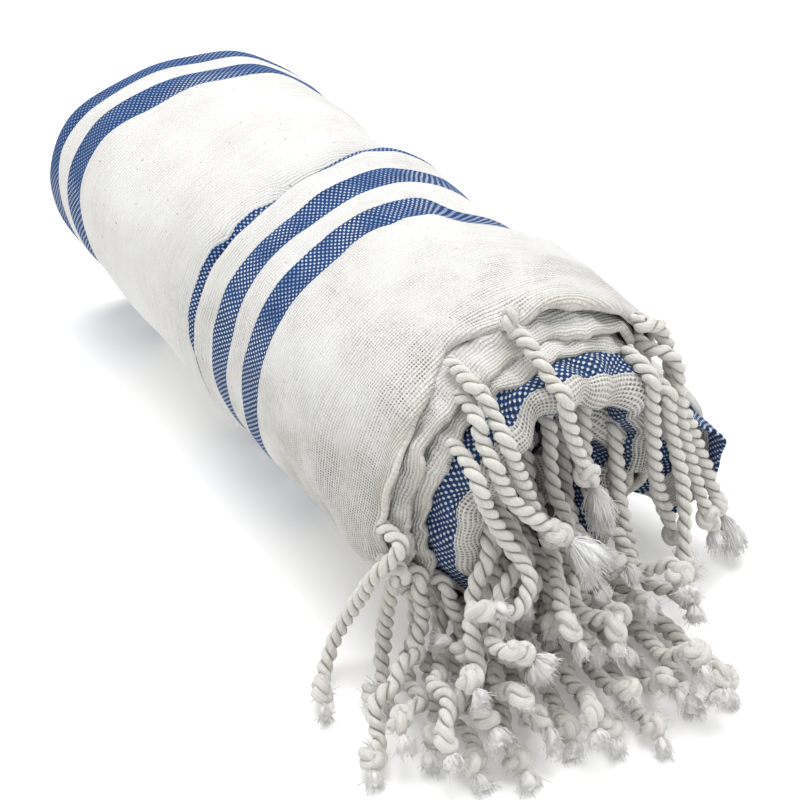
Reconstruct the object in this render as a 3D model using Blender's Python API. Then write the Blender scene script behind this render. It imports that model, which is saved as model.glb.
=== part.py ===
"""A hammam towel: a flat-woven cotton length, folded into a pack of layers and rolled, with knotted cord fringe.

The roll lies along Y on its flat spot, its fringed end towards -Y. The origin is on the flat spot, halfway
along the cloth. Lengths are in metres and angles in degrees. An angle round the roll is 0 at +X and 90 at the top.
"""

import math
from collections import namedtuple

import bmesh
import bpy
import numpy as np
from mathutils import Vector

# The roll, over its outer turn.
HALF_WIDTH = 0.056
HALF_HEIGHT = 0.0505
ROLL_LENGTH = 0.2235
HEM_Y = -0.110  # the front hem's plane
FREE_EDGE = -15.0  # angle of the rolled cloth's loose outer edge
PACK = 0.0105  # thickness of the folded layers, which is the depth from one turn to the next
TURNS = 4
FLAT_PRESS = 0.0010  # how far the roll settles on its flat spot
SAMPLES = 48  # round one turn

# The loose outer edge lifts away from the roll at the front.
LIFT_OUT = 0.0140
LIFT_FORWARD = 0.0100
LIFT_COLUMNS = 4
LIFT_LENGTH = 0.055

# Both ends slant a little across the roll: Y moved for each metre of X.
SLANT_FRONT = 0.04
SLANT_REAR = -0.22
SLANT_START = 0.125  # measured from the front hem
SLANT_END = 0.190

# The outer surface between the two ends: distance from the front hem, and what it stands out or in.
Section = namedtuple("Section", "along swell")
SECTIONS = (
    Section(0.012, 0.0006),
    Section(0.034, -0.0002),
    Section(0.060, -0.0010),
    Section(0.086, -0.0010),
    Section(0.104, -0.0004),
    Section(0.1092, 0.0002),
    Section(0.1122, -0.0012),
    Section(0.1132, -0.0040),
    Section(0.1180, -0.0042),
    Section(0.1270, -0.0028),
    Section(0.1450, -0.0014),
    Section(0.1700, -0.0004),
    Section(0.1950, 0.0000),
    Section(0.2120, -0.0002),
    Section(0.2200, -0.0010),
)
FAR_RIM = Section(ROLL_LENGTH, -0.0028)

# The front end: how far each edge of the pack stands along Y from the front hem, at a count of turns inwards.
FrontEdges = namedtuple("FrontEdges", "turn outer_edge inner_edge")
FRONT_EDGES = (
    FrontEdges(0.00, 0.0000, -0.0030),
    FrontEdges(0.30, 0.0000, -0.0040),
    FrontEdges(0.55, 0.0000, -0.0065),
    FrontEdges(0.85, -0.0010, -0.0080),
    FrontEdges(1.10, -0.0080, -0.0150),
    FrontEdges(1.30, -0.0115, -0.0190),
    FrontEdges(1.55, -0.0100, -0.0200),
    FrontEdges(1.90, -0.0120, -0.0190),
    FrontEdges(2.10, -0.0160, -0.0080),
    FrontEdges(2.40, -0.0165, 0.0060),
    FrontEdges(2.70, -0.0140, 0.0080),
    FrontEdges(3.00, 0.0000, 0.0080),
    FrontEdges(3.40, 0.0060, 0.0000),
    FrontEdges(5.00, 0.0050, 0.0040),
)
RIM_ROUND = 0.0010
# Rows across one pack at the front end: share of the pack's thickness, and which edge the row follows.
PackRow = namedtuple("PackRow", "share follows_inner set_back")
FRONT_ROWS = (
    PackRow(0.00, 0, RIM_ROUND),
    PackRow(0.12, 0, 0.0),
    PackRow(0.42, 0, 0.0),
    PackRow(0.50, 1, 0.0),
    PackRow(0.94, 1, 0.0),
)
# At the far end each pack is one soft fold with a groove beside it.
FAR_GROOVE = 0.0045
FAR_ROWS = (
    PackRow(0.00, 0, -FAR_GROOVE),
    PackRow(0.50, 0, 0.0),
)

# The fringe: each hem's cords hang from a narrow strip just in front of that hem.
GAP = 0.0003
STRIP_DEPTH = 0.0022
CORD_RADIUS = 0.0032
CORD_REST = 0.0028  # height of a lying cord's middle
RING_STEP = 0.0100
FIRST_RING = 0.0045
HEADING_REACH = 0.004  # a ring faces along the route between the points this far before and after it
CORNER_SIGNS = ((1, 1), (-1, 1), (-1, -1), (1, -1))
LYING = 0.6  # a cord counts as lying where its slope's cosine is over this
# A cord near its tip: its corner radius at a distance from the tip, over its brush of loose yarn and its knot.
TipRadius = namedtuple("TipRadius", "from_tip radius")
TIP_SHAPE = (
    TipRadius(0.0000, 0.0042),
    TipRadius(0.0070, 0.0046),
    TipRadius(0.0115, 0.0038),
    TipRadius(0.0170, 0.0058),
    TipRadius(0.0230, CORD_RADIUS),
)
# The hems that carry fringe: the turn, the edge of the pack, the strip's share of the pack's thickness, the first and
# last column that the strip spans, how far its cords reach, and the columns of the cords that follow a rule.
# A column is one of the SAMPLES steps round a turn, counted from the loose edge.
Hem = namedtuple("Hem", "name turn inner share_from share_to strip_from strip_to reach cord_columns")
HEMS = (
    Hem("fringe_front_hem", 0, 0, 0.14, 0.38, 5, 42, 1.00, (30, 32, 34, 36, 38, 40)),
    Hem("fringe_second_hem", 0, 1, 0.58, 0.86, 5, 43, 0.96, (31, 33, 35, 37, 39, 41)),
    Hem("fringe_third_hem", 1, 0, 0.04, 0.24, 5, 44, 0.92, (34, 36, 38, 40, 42)),
    Hem("fringe_inner_hem", 2, 1, 0.70, 0.94, 3, 46, 0.82, (5, 9, 13, 17, 21, 24, 27, 30, 33, 36, 39, 43)),
    Hem("fringe_core_hem", 3, 1, 0.58, 0.86, 5, 44, 0.72, (7, 14, 34, 41)),
)
# The cords that show best: hem, column, and where the cord bends and ends, measured from the front hem's plane.
PlacedCord = namedtuple("PlacedCord", "hem column bend_x bend_y bend_z end_x end_y end_z")
PLACED_CORDS = (
    PlacedCord(0, 25, -0.074, 0.016, 0.010, -0.084, -0.030, 0.004),
    PlacedCord(0, 27, -0.060, 0.000, 0.012, -0.054, -0.036, 0.006),
    PlacedCord(1, 28, -0.038, -0.022, 0.010, -0.086, -0.060, 0.004),
    PlacedCord(2, 29, -0.026, -0.030, 0.014, -0.068, -0.064, 0.004),
    PlacedCord(0, 18, -0.024, -0.026, 0.084, 0.002, -0.038, 0.030),
    PlacedCord(0, 14, -0.008, -0.024, 0.094, 0.016, -0.040, 0.044),
    PlacedCord(1, 19, -0.006, -0.032, 0.072, 0.008, -0.068, 0.012),
    PlacedCord(2, 21, -0.016, -0.030, 0.066, -0.032, -0.058, 0.018),
    PlacedCord(0, 8, 0.062, -0.008, 0.062, 0.068, -0.032, 0.006),
    PlacedCord(1, 7, 0.050, -0.018, 0.058, 0.060, -0.040, 0.006),
    PlacedCord(2, 8, 0.040, -0.024, 0.054, 0.042, -0.044, 0.006),
    PlacedCord(2, 6, 0.038, -0.028, 0.046, 0.028, -0.050, 0.010),
)
# The other cords end along the rim of a heap in front of the roll, which follows from where they start.
HeapRim = namedtuple("HeapRim", "root_x rim_x rim_y")
HEAP_RIM = (
    HeapRim(-0.050, -0.074, -0.068),
    HeapRim(-0.030, -0.056, -0.082),
    HeapRim(-0.010, -0.034, -0.092),
    HeapRim(0.005, -0.012, -0.092),
    HeapRim(0.020, 0.006, -0.080),
    HeapRim(0.035, 0.026, -0.064),
    HeapRim(0.050, 0.046, -0.046),
)
HEAP_MIDDLE = (-0.005, -0.020)
REACH_CHANGE = 0.07  # the cords of one hem reach a little further or less, in turn
REACH_TURN = 2.4
LAYER_HEIGHT = 0.0052  # the heap's depth, for each hem further in
LAYER_START = 0.7
BEND_SHARE = 0.30  # where a cord bends on its way to its end, and the share of its drop that is left there
BEND_DROP = 0.15
PASSED_SHARE = 0.40  # how much of the way to its bend a cord clears before it turns
SHORTEST_CORD = 0.084
LONGEST_CORD = 0.100

# The drawn routes are then spaced in small passes. Each pass lowers a cord's free points, draws them back to the
# drawn route, smooths them, moves near ones apart and off the roll, and sets the steps along the cord again.
# The last passes only move them apart.
CORD_POINTS = 25
FIXED_POINTS = 2  # at the root
CORD_ROOM = 0.0038  # half the distance that two cords keep between their middles
KNOT_ROOM = 0.002
EASE_PASSES = 400
EASE_LAST = 120
SETTLE = 0.00012
HOLD = 0.010
STIFFNESS = 0.10
PUSH = 1.2
NEAR = 4.5  # pairs of points within this many rooms are followed, and listed anew every few passes
LIST_EVERY = 10
BEHIND = 9.0  # stands for no cloth there
UNDER = -0.6  # sine of the angle below which a cord isn't moved out to the roll's side

COTTON = (0.80, 0.78, 0.71, 1.0)
CORD_COTTON = (0.83, 0.81, 0.75, 1.0)
CLOTH_ROUGHNESS = 0.92


def clear_scene():
    for thing in list(bpy.data.objects):
        bpy.data.objects.remove(thing, do_unlink=True)


def turn_at(angle):
    """Share of the outer turn that lies between the loose edge and an angle."""
    return ((angle - FREE_EDGE) % 360.0) / 360.0


def angle_at(turn):
    return FREE_EDGE + 360.0 * turn


HEIGHT_RATIO = HALF_HEIGHT / HALF_WIDTH
RADIUS_X = HALF_WIDTH + PACK * (turn_at(0.0) + turn_at(180.0)) / 2.0
RADIUS_Z = HALF_HEIGHT + PACK * HEIGHT_RATIO * (turn_at(90.0) + turn_at(270.0)) / 2.0
CENTRE_X = HALF_WIDTH - (RADIUS_X - PACK * turn_at(0.0))
CENTRE_Z = RADIUS_Z - PACK * HEIGHT_RATIO * turn_at(270.0) - FLAT_PRESS


def table_value(table, key, name, at):
    keys = np.array([getattr(row, key) for row in table])
    values = np.array([getattr(row, name) for row in table])
    return np.interp(at, keys, values)


def slant(along):
    return np.interp(along, (SLANT_START, SLANT_END), (SLANT_FRONT, SLANT_REAR))


def wound_point(turn, share, along, swell=0.0, out=0.0):
    """A point of the wound cloth: turns inwards, share of the pack's thickness, and distance from the front hem."""
    angle = math.radians(angle_at(turn))
    depth = PACK * (turn + share)
    x = CENTRE_X + (RADIUS_X - depth + swell + out) * math.cos(angle)
    z = CENTRE_Z + (RADIUS_Z - (depth - swell) * HEIGHT_RATIO + out) * math.sin(angle)
    # The flat spot: no layer lies lower than the layers between it and the floor allow.
    on_edge = turn % 1.0 < 1e-9
    layers_below = max(turn - 1.0, 0.0) if on_edge else math.floor(turn + 1e-9)
    floor_z = PACK * HEIGHT_RATIO * (layers_below + share)
    z = max(z, min(floor_z, CENTRE_Z))
    return Vector((x, HEM_Y + along + slant(along) * x, z))


def swell_weight(turn):
    """The swell fades out over the flat spot, so the cloth rests along its whole length."""
    away = abs((angle_at(turn) - 270.0 + 180.0) % 360.0 - 180.0)
    return min(max((away - 12.0) / 25.0, 0.0), 1.0)


def lumps(turn, along):
    """Soft unevenness of the outer cloth, none at the flat spot."""
    angle = math.radians(angle_at(turn))
    wave = math.sin(2.0 * angle + along * 42.0) + 0.7 * math.sin(3.0 * angle - along * 61.0 + 1.3)
    fade = min(along / 0.02, 1.0) * min((ROLL_LENGTH - along) / 0.02, 1.0)
    return 0.0005 * wave * fade * swell_weight(turn)


def loose_edge_lift(column, along):
    """How far the loose outer edge stands out, from 0 to 1."""
    if column >= LIFT_COLUMNS or along >= LIFT_LENGTH:
        return 0.0
    return (1.0 - (column / LIFT_COLUMNS) ** 2) * (1.0 - max(along, 0.0) / LIFT_LENGTH) ** 1.5


def lifted(turn, share, along, column, swell=0.0):
    lift = loose_edge_lift(column, along)
    point = wound_point(turn, share, along, swell, LIFT_OUT * lift)
    point.y -= LIFT_FORWARD * lift
    return point


def front_along(turn, row):
    name = "inner_edge" if row.follows_inner else "outer_edge"
    return float(table_value(FRONT_EDGES, "turn", name, turn)) + row.set_back


def far_along(turn, row):
    return FAR_RIM.along + FAR_GROOVE + row.set_back - 0.0012 * turn


class WoundEnd:
    """One end of the roll: rows of vertices that wind inwards, the last row of a turn being the next turn's first."""

    def __init__(self, mesh, rows, along_of, facing, swell):
        self.mesh = mesh
        self.rows = rows
        self.along_of = along_of
        self.facing = facing
        self.swell = swell
        self.vertices = {}

    def vertex(self, column, row):
        if row == len(self.rows):
            return self.vertex(column + SAMPLES, 0)
        if (column, row) not in self.vertices:
            turn = column / SAMPLES
            kind = self.rows[row]
            swell = self.swell * swell_weight(turn)
            point = lifted(turn, kind.share, self.along_of(turn, kind), column, swell)
            self.vertices[column, row] = self.mesh.verts.new(point)
        return self.vertices[column, row]

    def face(self, corners):
        self.mesh.faces.new(corners if self.facing > 0 else corners[::-1])

    def build(self):
        last = TURNS * SAMPLES
        for column in range(last):
            for row in range(len(self.rows)):
                self.face((
                    self.vertex(column, row),
                    self.vertex(column + 1, row),
                    self.vertex(column + 1, row + 1),
                    self.vertex(column, row + 1),
                ))
        loop = [self.vertex(column, 0) for column in range(last, last + SAMPLES + 1)]
        loop += [self.vertex(last, row) for row in range(len(self.rows) - 1, 0, -1)]
        middle = sum((corner.co for corner in loop), Vector()) / len(loop)
        centre = self.mesh.verts.new(middle)
        for first, second in zip(loop, loop[1:] + loop[:1]):
            self.face((first, second, centre))

    def rim(self):
        return [self.vertex(column, 0) for column in range(SAMPLES + 1)]

    def edge_column(self):
        return [self.vertex(0, row) for row in range(len(self.rows) + 1)]


def section_ring(mesh, section):
    ring = []
    for column in range(SAMPLES + 1):
        turn = column / SAMPLES
        swell = section.swell * swell_weight(turn) + lumps(turn, section.along)
        ring.append(mesh.verts.new(lifted(turn, 0.0, section.along, column, swell)))
    return ring


def build_roll(collection):
    mesh = bmesh.new()
    front = WoundEnd(mesh, FRONT_ROWS, front_along, -1, 0.0)
    far = WoundEnd(mesh, FAR_ROWS, far_along, 1, FAR_RIM.swell)
    front.build()
    far.build()
    rings = [front.rim()] + [section_ring(mesh, section) for section in SECTIONS] + [far.rim()]
    for near, next_ring in zip(rings, rings[1:]):
        for column in range(SAMPLES):
            mesh.faces.new((near[column], next_ring[column], next_ring[column + 1], near[column + 1]))
    # The loose edge itself, a flat face as thick as the pack.
    inner_rings = rings[1:-1]
    for near, next_ring in zip(inner_rings, inner_rings[1:]):
        mesh.faces.new((near[0], near[-1], next_ring[-1], next_ring[0]))
    mesh.faces.new(front.edge_column() + [inner_rings[0][-1], inner_rings[0][0]])
    mesh.faces.new(far.edge_column()[::-1] + [inner_rings[-1][0], inner_rings[-1][-1]])
    bmesh.ops.recalc_face_normals(mesh, faces=mesh.faces)
    bmesh.ops.triangulate(mesh, faces=[face for face in mesh.faces if len(face.verts) > 4])
    add_object(mesh, "towel_roll", collection, material("roll_cotton", COTTON))


def front_surface(x, z):
    """Y of the roll's front end at each x and z, or far behind it where the roll has none."""
    across = x - CENTRE_X
    up = (z - CENTRE_Z) * RADIUS_X / RADIUS_Z
    turn = ((np.degrees(np.arctan2(up, across)) - FREE_EDGE) % 360.0) / 360.0
    packs = (RADIUS_X - np.hypot(across, up)) / PACK - turn
    whole = np.clip(np.floor(packs), 0.0, TURNS)
    share = packs - whole
    outer = table_value(FRONT_EDGES, "turn", "outer_edge", whole + turn)
    inner = table_value(FRONT_EDGES, "turn", "inner_edge", whole + turn)
    following = table_value(FRONT_EDGES, "turn", "outer_edge", whole + turn + 1.0)
    into_inner = np.clip((share - FRONT_ROWS[2].share) / (FRONT_ROWS[3].share - FRONT_ROWS[2].share), 0.0, 1.0)
    into_next = np.clip((share - FRONT_ROWS[4].share) / (1.0 - FRONT_ROWS[4].share), 0.0, 1.0)
    along = outer + (inner - outer) * into_inner
    along = along + (following - along) * into_next
    return np.where(packs < 0.0, BEHIND, HEM_Y + along + SLANT_FRONT * x), packs * PACK


def keep_off_roll(points, room):
    """Moves points off the roll, forwards or outwards, whichever is nearer."""
    x, y, z = points[..., 0], points[..., 1], points[..., 2]
    front, depth = front_surface(x, z)
    front = front - room - STRIP_DEPTH - GAP
    for step_x, step_z in ((1, 0), (-1, 0), (0, 1), (0, -1)):
        beside, _ = front_surface(x + step_x * room, z + step_z * room)
        front = np.minimum(front, beside - room - STRIP_DEPTH - GAP)
    forward = np.maximum(y - front, 0.0)
    outward = np.maximum(depth + room, 0.0)
    across = x - CENTRE_X
    up = z - CENTRE_Z
    reach = np.hypot(across, up)
    under = up / reach < UNDER
    go_out = (outward < forward) & ~under
    points[..., 0] += np.where(go_out, outward * across / reach, 0.0)
    points[..., 2] += np.where(go_out, outward * up / reach, 0.0)
    points[..., 1] -= np.where(go_out | (outward <= 0.0), 0.0, forward)


def near_pairs(flat, cord_of, reach):
    """Pairs of points of different cords within reach of each other."""
    gaps = flat[:, None, :] - flat[None, :, :]
    close = (gaps ** 2).sum(axis=2) < reach ** 2
    first, second = np.nonzero(np.triu(close & (cord_of[:, None] != cord_of[None, :])))
    return first, second


def ease_apart(routes, room, fixed):
    """Spaces the drawn routes until no two cords, nor a cord and the roll, share room."""
    cords, count, _ = routes.shape
    home = routes.copy()
    spacing = np.linalg.norm(np.diff(routes, axis=1), axis=2)
    cord_of = np.repeat(np.arange(cords), count)
    rooms = room.reshape(-1)
    for step in range(EASE_PASSES):
        last = step >= EASE_PASSES - EASE_LAST
        free = routes[:, fixed:]
        if not last:
            free[..., 2] -= SETTLE
            free += (home[:, fixed:] - free) * HOLD * (1.0 - step / EASE_PASSES)
            middle = (routes[:, fixed - 1:-2] + routes[:, fixed + 1:]) / 2.0
            routes[:, fixed:-1] += (middle - routes[:, fixed:-1]) * STIFFNESS
        flat = routes.reshape(-1, 3)
        if step % LIST_EVERY == 0:
            first, second = near_pairs(flat, cord_of, NEAR * CORD_ROOM)
            first_moves = ((first % count) >= fixed).astype(float)
            second_moves = ((second % count) >= fixed).astype(float)
            moving = np.maximum(first_moves + second_moves, 1.0)
        gap = flat[first] - flat[second]
        length = np.maximum(np.sqrt((gap ** 2).sum(axis=1)), 1e-6)
        short = np.maximum(rooms[first] + rooms[second] - length, 0.0)
        push = gap * (PUSH * short / length / moving)[:, None]
        shift = np.zeros_like(flat)
        np.add.at(shift, first, push * first_moves[:, None])
        np.add.at(shift, second, -push * second_moves[:, None])
        flat += np.clip(shift, -CORD_ROOM, CORD_ROOM)
        keep_off_roll(free, room[:, fixed:])
        free[..., 2] = np.maximum(free[..., 2], room[:, fixed:] - CORD_ROOM + CORD_REST)
        if not last:
            for point in range(fixed, count):
                step_to = routes[:, point] - routes[:, point - 1]
                size = np.maximum(np.linalg.norm(step_to, axis=1), 1e-6)
                routes[:, point] = routes[:, point - 1] + step_to * (spacing[:, point - 1] / size)[:, None]
    return routes


def rounded(points, passes):
    """Cuts the corners of a polyline, its two ends kept."""
    for _ in range(passes):
        cut = [points[0]]
        for first, second in zip(points, points[1:]):
            cut += [first * 0.75 + second * 0.25, first * 0.25 + second * 0.75]
        points = cut + [points[-1]]
    return points


def evenly(points, count, length):
    """Points at equal steps along a polyline, which is run on straight or stopped at the length."""
    points = np.array(points)
    steps = np.linalg.norm(np.diff(points, axis=0), axis=1)
    run = np.concatenate(((0.0,), np.cumsum(steps)))
    if run[-1] < length:
        points[-1] += (points[-1] - points[-2]) / steps[-1] * (length - run[-1])
        run[-1] = length
    wanted = np.linspace(0.0, length, count)
    return np.stack([np.interp(wanted, run, points[:, axis]) for axis in range(3)], axis=1)


def strip_point(hem, column, share, depth):
    """A point of the strip in front of a hem, at a depth from the hem."""
    turn = hem.turn + column / SAMPLES
    edge = "inner_edge" if hem.inner else "outer_edge"
    along = float(table_value(FRONT_EDGES, "turn", edge, turn))
    return wound_point(turn, share, along - GAP - depth)


def cord_root(hem, column):
    share = (hem.share_from + hem.share_to) / 2.0
    return strip_point(hem, column + 0.5, share, STRIP_DEPTH)


def heap_end(root, reach, height):
    """Where a cord ends in the heap: part of the way from the heap's middle to its rim, or a little past it."""
    rim_x = float(table_value(HEAP_RIM, "root_x", "rim_x", root.x))
    rim_y = float(table_value(HEAP_RIM, "root_x", "rim_y", root.x))
    x = HEAP_MIDDLE[0] + (rim_x - HEAP_MIDDLE[0]) * reach
    y = HEAP_MIDDLE[1] + (rim_y - HEAP_MIDDLE[1]) * reach
    return Vector((x, HEM_Y + y, height))


def lead_off(root, bend):
    """The point ahead of a root where the cord is clear of the cloth that it passes on its way to its bend."""
    steps = np.linspace(0.0, PASSED_SHARE, 9)
    front, _ = front_surface(root.x + (bend.x - root.x) * steps, root.z + (bend.z - root.z) * steps)
    clear = float(front.min()) - CORD_ROOM - STRIP_DEPTH - GAP
    return Vector((root.x, min(root.y - FIRST_RING * 1.6, clear), root.z))


def cords_of(number, hem):
    """Each cord of a hem: its column on the strip and the corners of its drawn route."""
    for placed in PLACED_CORDS:
        if placed.hem == number:
            root = cord_root(hem, placed.column)
            bend = Vector((placed.bend_x, HEM_Y + placed.bend_y, placed.bend_z))
            end = Vector((placed.end_x, HEM_Y + placed.end_y, placed.end_z))
            yield placed.column, (root, lead_off(root, bend), bend, end)
    for order, column in enumerate(hem.cord_columns):
        root = cord_root(hem, column)
        height = LAYER_HEIGHT * (LAYER_START + number)
        reach = hem.reach + REACH_CHANGE * math.sin(REACH_TURN * order + number)
        end = heap_end(root, reach, height)
        lead = lead_off(root, end)
        bend = lead.lerp(end, BEND_SHARE)
        bend.z = height + BEND_DROP * max(root.z - height, 0.0)
        yield column, (root, lead, bend, end)


def corner_radius(from_tip):
    return float(table_value(TIP_SHAPE, "from_tip", "radius", from_tip))


def room_at(from_tip):
    """Half the distance that a cord's middle keeps from the next cord's, with a knot's room a little either side."""
    nearby = [corner_radius(max(from_tip + step, 0.0)) for step in (-KNOT_ROOM, 0.0, KNOT_ROOM)]
    return max(nearby) - CORD_RADIUS + CORD_ROOM


def draw_cords():
    """All cords' routes, spaced, with the hem and column of each."""
    owners = []
    drawn = []
    rooms = []
    for number, hem in enumerate(HEMS):
        for column, corners in cords_of(number, hem):
            points = rounded([np.array(corner) for corner in corners], 3)
            straight = sum(float(np.linalg.norm(b - a)) for a, b in zip(points, points[1:]))
            length = min(max(straight, SHORTEST_CORD), LONGEST_CORD)
            owners.append((number, column))
            drawn.append(evenly(points, CORD_POINTS, length))
            rooms.append([room_at(at) for at in np.linspace(length, 0.0, CORD_POINTS)])
    return owners, ease_apart(np.array(drawn), np.array(rooms), FIXED_POINTS)


def ring_stations(length):
    """Distances from the root of a cord's rings."""
    tips = [length - row.from_tip for row in TIP_SHAPE][::-1]
    start = 2.0 * FIRST_RING
    plain = int(math.ceil((tips[0] - start) / RING_STEP))
    return [FIRST_RING] + [start + (tips[0] - start) * step / plain for step in range(plain)] + tips


def level_across(across, heading):
    """A cord that lies down has its sides level and upright: the nearest such direction to the one carried on."""
    level = heading.cross(Vector((0.0, 0.0, 1.0)))
    if level.length < LYING:
        return across
    level.normalize()
    upright = level.cross(heading)
    return max((level, -level, upright, -upright), key=lambda side: side.dot(across))


def grow_cord(mesh, base, route):
    """Extrudes the base face along a route, ring by ring, as a tube of four sides."""
    run = np.concatenate(((0.0,), np.cumsum(np.linalg.norm(np.diff(route, axis=0), axis=1))))

    def at(distance):
        return Vector([float(np.interp(distance, run, route[:, axis])) for axis in range(3)])

    corners = [loop.vert.co.copy() for loop in base.loops]
    across = (corners[0] + corners[3] - corners[1] - corners[2]).normalized()
    heading = Vector((0.0, -1.0, 0.0))
    upward = across.cross(heading)
    flip = 1.0 if (corners[0] - corners[3]).dot(upward) > 0.0 else -1.0
    face = base
    for station in ring_stations(run[-1]):
        turned = (at(station + HEADING_REACH) - at(station - HEADING_REACH)).normalized()
        across = heading.rotation_difference(turned) @ across
        across = (across - turned * across.dot(turned)).normalized()
        across = level_across(across, turned)
        heading = turned
        upward = across.cross(heading) * flip
        half_side = corner_radius(run[-1] - station) * math.sqrt(0.5)
        face = bmesh.ops.extrude_discrete_faces(mesh, faces=[face])["faces"][0]
        for loop, (side, lift) in zip(face.loops, CORNER_SIGNS):
            loop.vert.co = at(station) + (across * side + upward * lift) * half_side


def build_fringe(number, hem, cords, collection, look):
    mesh = bmesh.new()
    stations = []
    for column in range(hem.strip_from, hem.strip_to + 1):
        outer, inner = hem.share_from, hem.share_to
        places = ((outer, 0.0), (outer, STRIP_DEPTH), (inner, STRIP_DEPTH), (inner, 0.0))
        stations.append([mesh.verts.new(strip_point(hem, column, share, depth)) for share, depth in places])
    mesh.faces.new(stations[0])
    mesh.faces.new(stations[-1][::-1])
    bases = {}
    for column, near, following in zip(range(hem.strip_from, hem.strip_to), stations, stations[1:]):
        for side in range(4):
            other = (side + 1) % 4
            face = mesh.faces.new((near[side], near[other], following[other], following[side]))
            if side == 1:
                bases[column] = face
    bmesh.ops.recalc_face_normals(mesh, faces=mesh.faces)
    for column, route in cords:
        grow_cord(mesh, bases[column], route)
    bmesh.ops.recalc_face_normals(mesh, faces=mesh.faces)
    add_object(mesh, hem.name, collection, look)


def material(name, colour):
    made = bpy.data.materials.new(name)
    made.use_nodes = True
    shader = made.node_tree.nodes["Principled BSDF"]
    shader.inputs["Base Color"].default_value = colour
    shader.inputs["Roughness"].default_value = CLOTH_ROUGHNESS
    shader.inputs["Metallic"].default_value = 0.0
    made.diffuse_color = colour
    return made


def add_object(mesh, name, collection, look):
    data = bpy.data.meshes.new(name)
    mesh.to_mesh(data)
    mesh.free()
    data.materials.append(look)
    data.shade_smooth()
    data.set_sharp_from_angle(angle=math.radians(35.0))
    made = bpy.data.objects.new(name, data)
    collection.objects.link(made)
    return made


def main():
    clear_scene()
    towel = bpy.data.collections.new("hammam_towel")
    bpy.context.scene.collection.children.link(towel)
    build_roll(towel)
    owners, routes = draw_cords()
    look = material("cord_cotton", CORD_COTTON)
    for number, hem in enumerate(HEMS):
        cords = [(column, route) for (owner, column), route in zip(owners, routes) if owner == number]
        build_fringe(number, hem, cords, towel, look)


main()
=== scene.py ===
import functools
import math
import operator
from collections import namedtuple

import bpy
import numpy as np
from mathutils import Matrix, Vector


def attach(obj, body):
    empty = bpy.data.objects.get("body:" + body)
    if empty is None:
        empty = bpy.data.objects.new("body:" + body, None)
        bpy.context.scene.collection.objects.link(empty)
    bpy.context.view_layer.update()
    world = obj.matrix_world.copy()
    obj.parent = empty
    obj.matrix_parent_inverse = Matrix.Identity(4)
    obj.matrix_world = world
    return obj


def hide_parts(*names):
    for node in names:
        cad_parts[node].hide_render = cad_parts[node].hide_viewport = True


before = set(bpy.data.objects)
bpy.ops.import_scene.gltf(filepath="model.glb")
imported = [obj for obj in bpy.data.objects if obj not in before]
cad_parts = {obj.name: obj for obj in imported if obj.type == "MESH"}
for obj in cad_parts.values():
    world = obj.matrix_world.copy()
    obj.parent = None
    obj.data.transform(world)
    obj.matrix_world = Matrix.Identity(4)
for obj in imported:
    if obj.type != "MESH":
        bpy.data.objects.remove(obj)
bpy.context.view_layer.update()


# ---------------------------------------------------------------- tables, curves and lines
def table_of(columns, *values):
    """A table with named columns."""
    row = namedtuple("Row", columns)
    return tuple(row(*value) for value in values)


def value_at(table, name, at):
    """A column's value at places of the table's first column, straight between its rows."""
    return np.interp(at, [row[0] for row in table], [getattr(row, name) for row in table])


def smooth(x):
    """Eases from 0 to 1 while x goes there."""
    x = np.clip(x, 0.0, 1.0)
    return x * x * (3.0 - 2.0 * x)


def bell(value, middle, width):
    """1 at the middle, and soft slopes to both sides."""
    return np.exp(-((value - middle) / width) ** 2)


def waves(seed, a, b, shortest, longest, count=18):
    """Soft unevenness over two lengths: a sum of sines with seeded directions, about 1 at its highest."""
    draw = np.random.default_rng(seed)
    total = np.zeros(np.broadcast(a, b).shape)
    for _ in range(count):
        length = shortest * (longest / shortest) ** draw.random()
        heading = draw.random() * 2.0 * math.pi
        phase = draw.random() * 2.0 * math.pi
        total += np.sin((a * math.cos(heading) + b * math.sin(heading)) * 2.0 * math.pi / length + phase)
    return total / math.sqrt(count)


def unit(vector):
    return vector / max(np.linalg.norm(vector), 1e-9)


def step_lengths(points):
    return np.linalg.norm(np.diff(points, axis=0), axis=1)


def running(steps):
    """Each point's distance from the first, from the lengths of the steps between them."""
    return np.concatenate(((0.0,), np.cumsum(steps)))


def points_at(points, run, wanted):
    """Points of a polyline at the wanted distances along it."""
    return np.stack([np.interp(wanted, run, values) for values in points.T], axis=1)


def resampled(points, count):
    """Points at equal steps along a polyline, and their distances along it."""
    run = running(step_lengths(points))
    wanted = np.linspace(0.0, run[-1], count)
    return points_at(points, run, wanted), wanted


def rounded(points, passes):
    """A polyline with its corners cut, again and again."""
    for _ in range(passes):
        first, second = points[:-1], points[1:]
        cut = np.empty((2 * len(first), points.shape[1]))
        cut[0::2] = first * 0.75 + second * 0.25
        cut[1::2] = first * 0.25 + second * 0.75
        points = np.concatenate((points[:1], cut, points[-1:]))
    return points


# ---------------------------------------------------------------- the winding, as in the CAD
HALF_WIDTH = 0.056
HALF_HEIGHT = 0.0505
ROLL_LENGTH = 0.2235
HEM_Y = -0.110
FREE_EDGE = -15.0
PACK = 0.0105
FLAT_PRESS = 0.0010
SAMPLES = 48
SLANT_FRONT = 0.04
SLANT_REAR = -0.22
SLANT_START = 0.125
SLANT_END = 0.190
LIFT_OUT = 0.0140
LIFT_FORWARD = 0.0100
LIFT_TURN = 4.0 / SAMPLES
LIFT_LENGTH = 0.055
LUMP_HEIGHT = 0.0005
LUMP_FADE = 0.02
BOTTOM = 270.0
BOTTOM_HALF = 12.0
BOTTOM_FADE = 25.0


def turn_at(angle):
    return ((angle - FREE_EDGE) % 360.0) / 360.0


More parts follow.
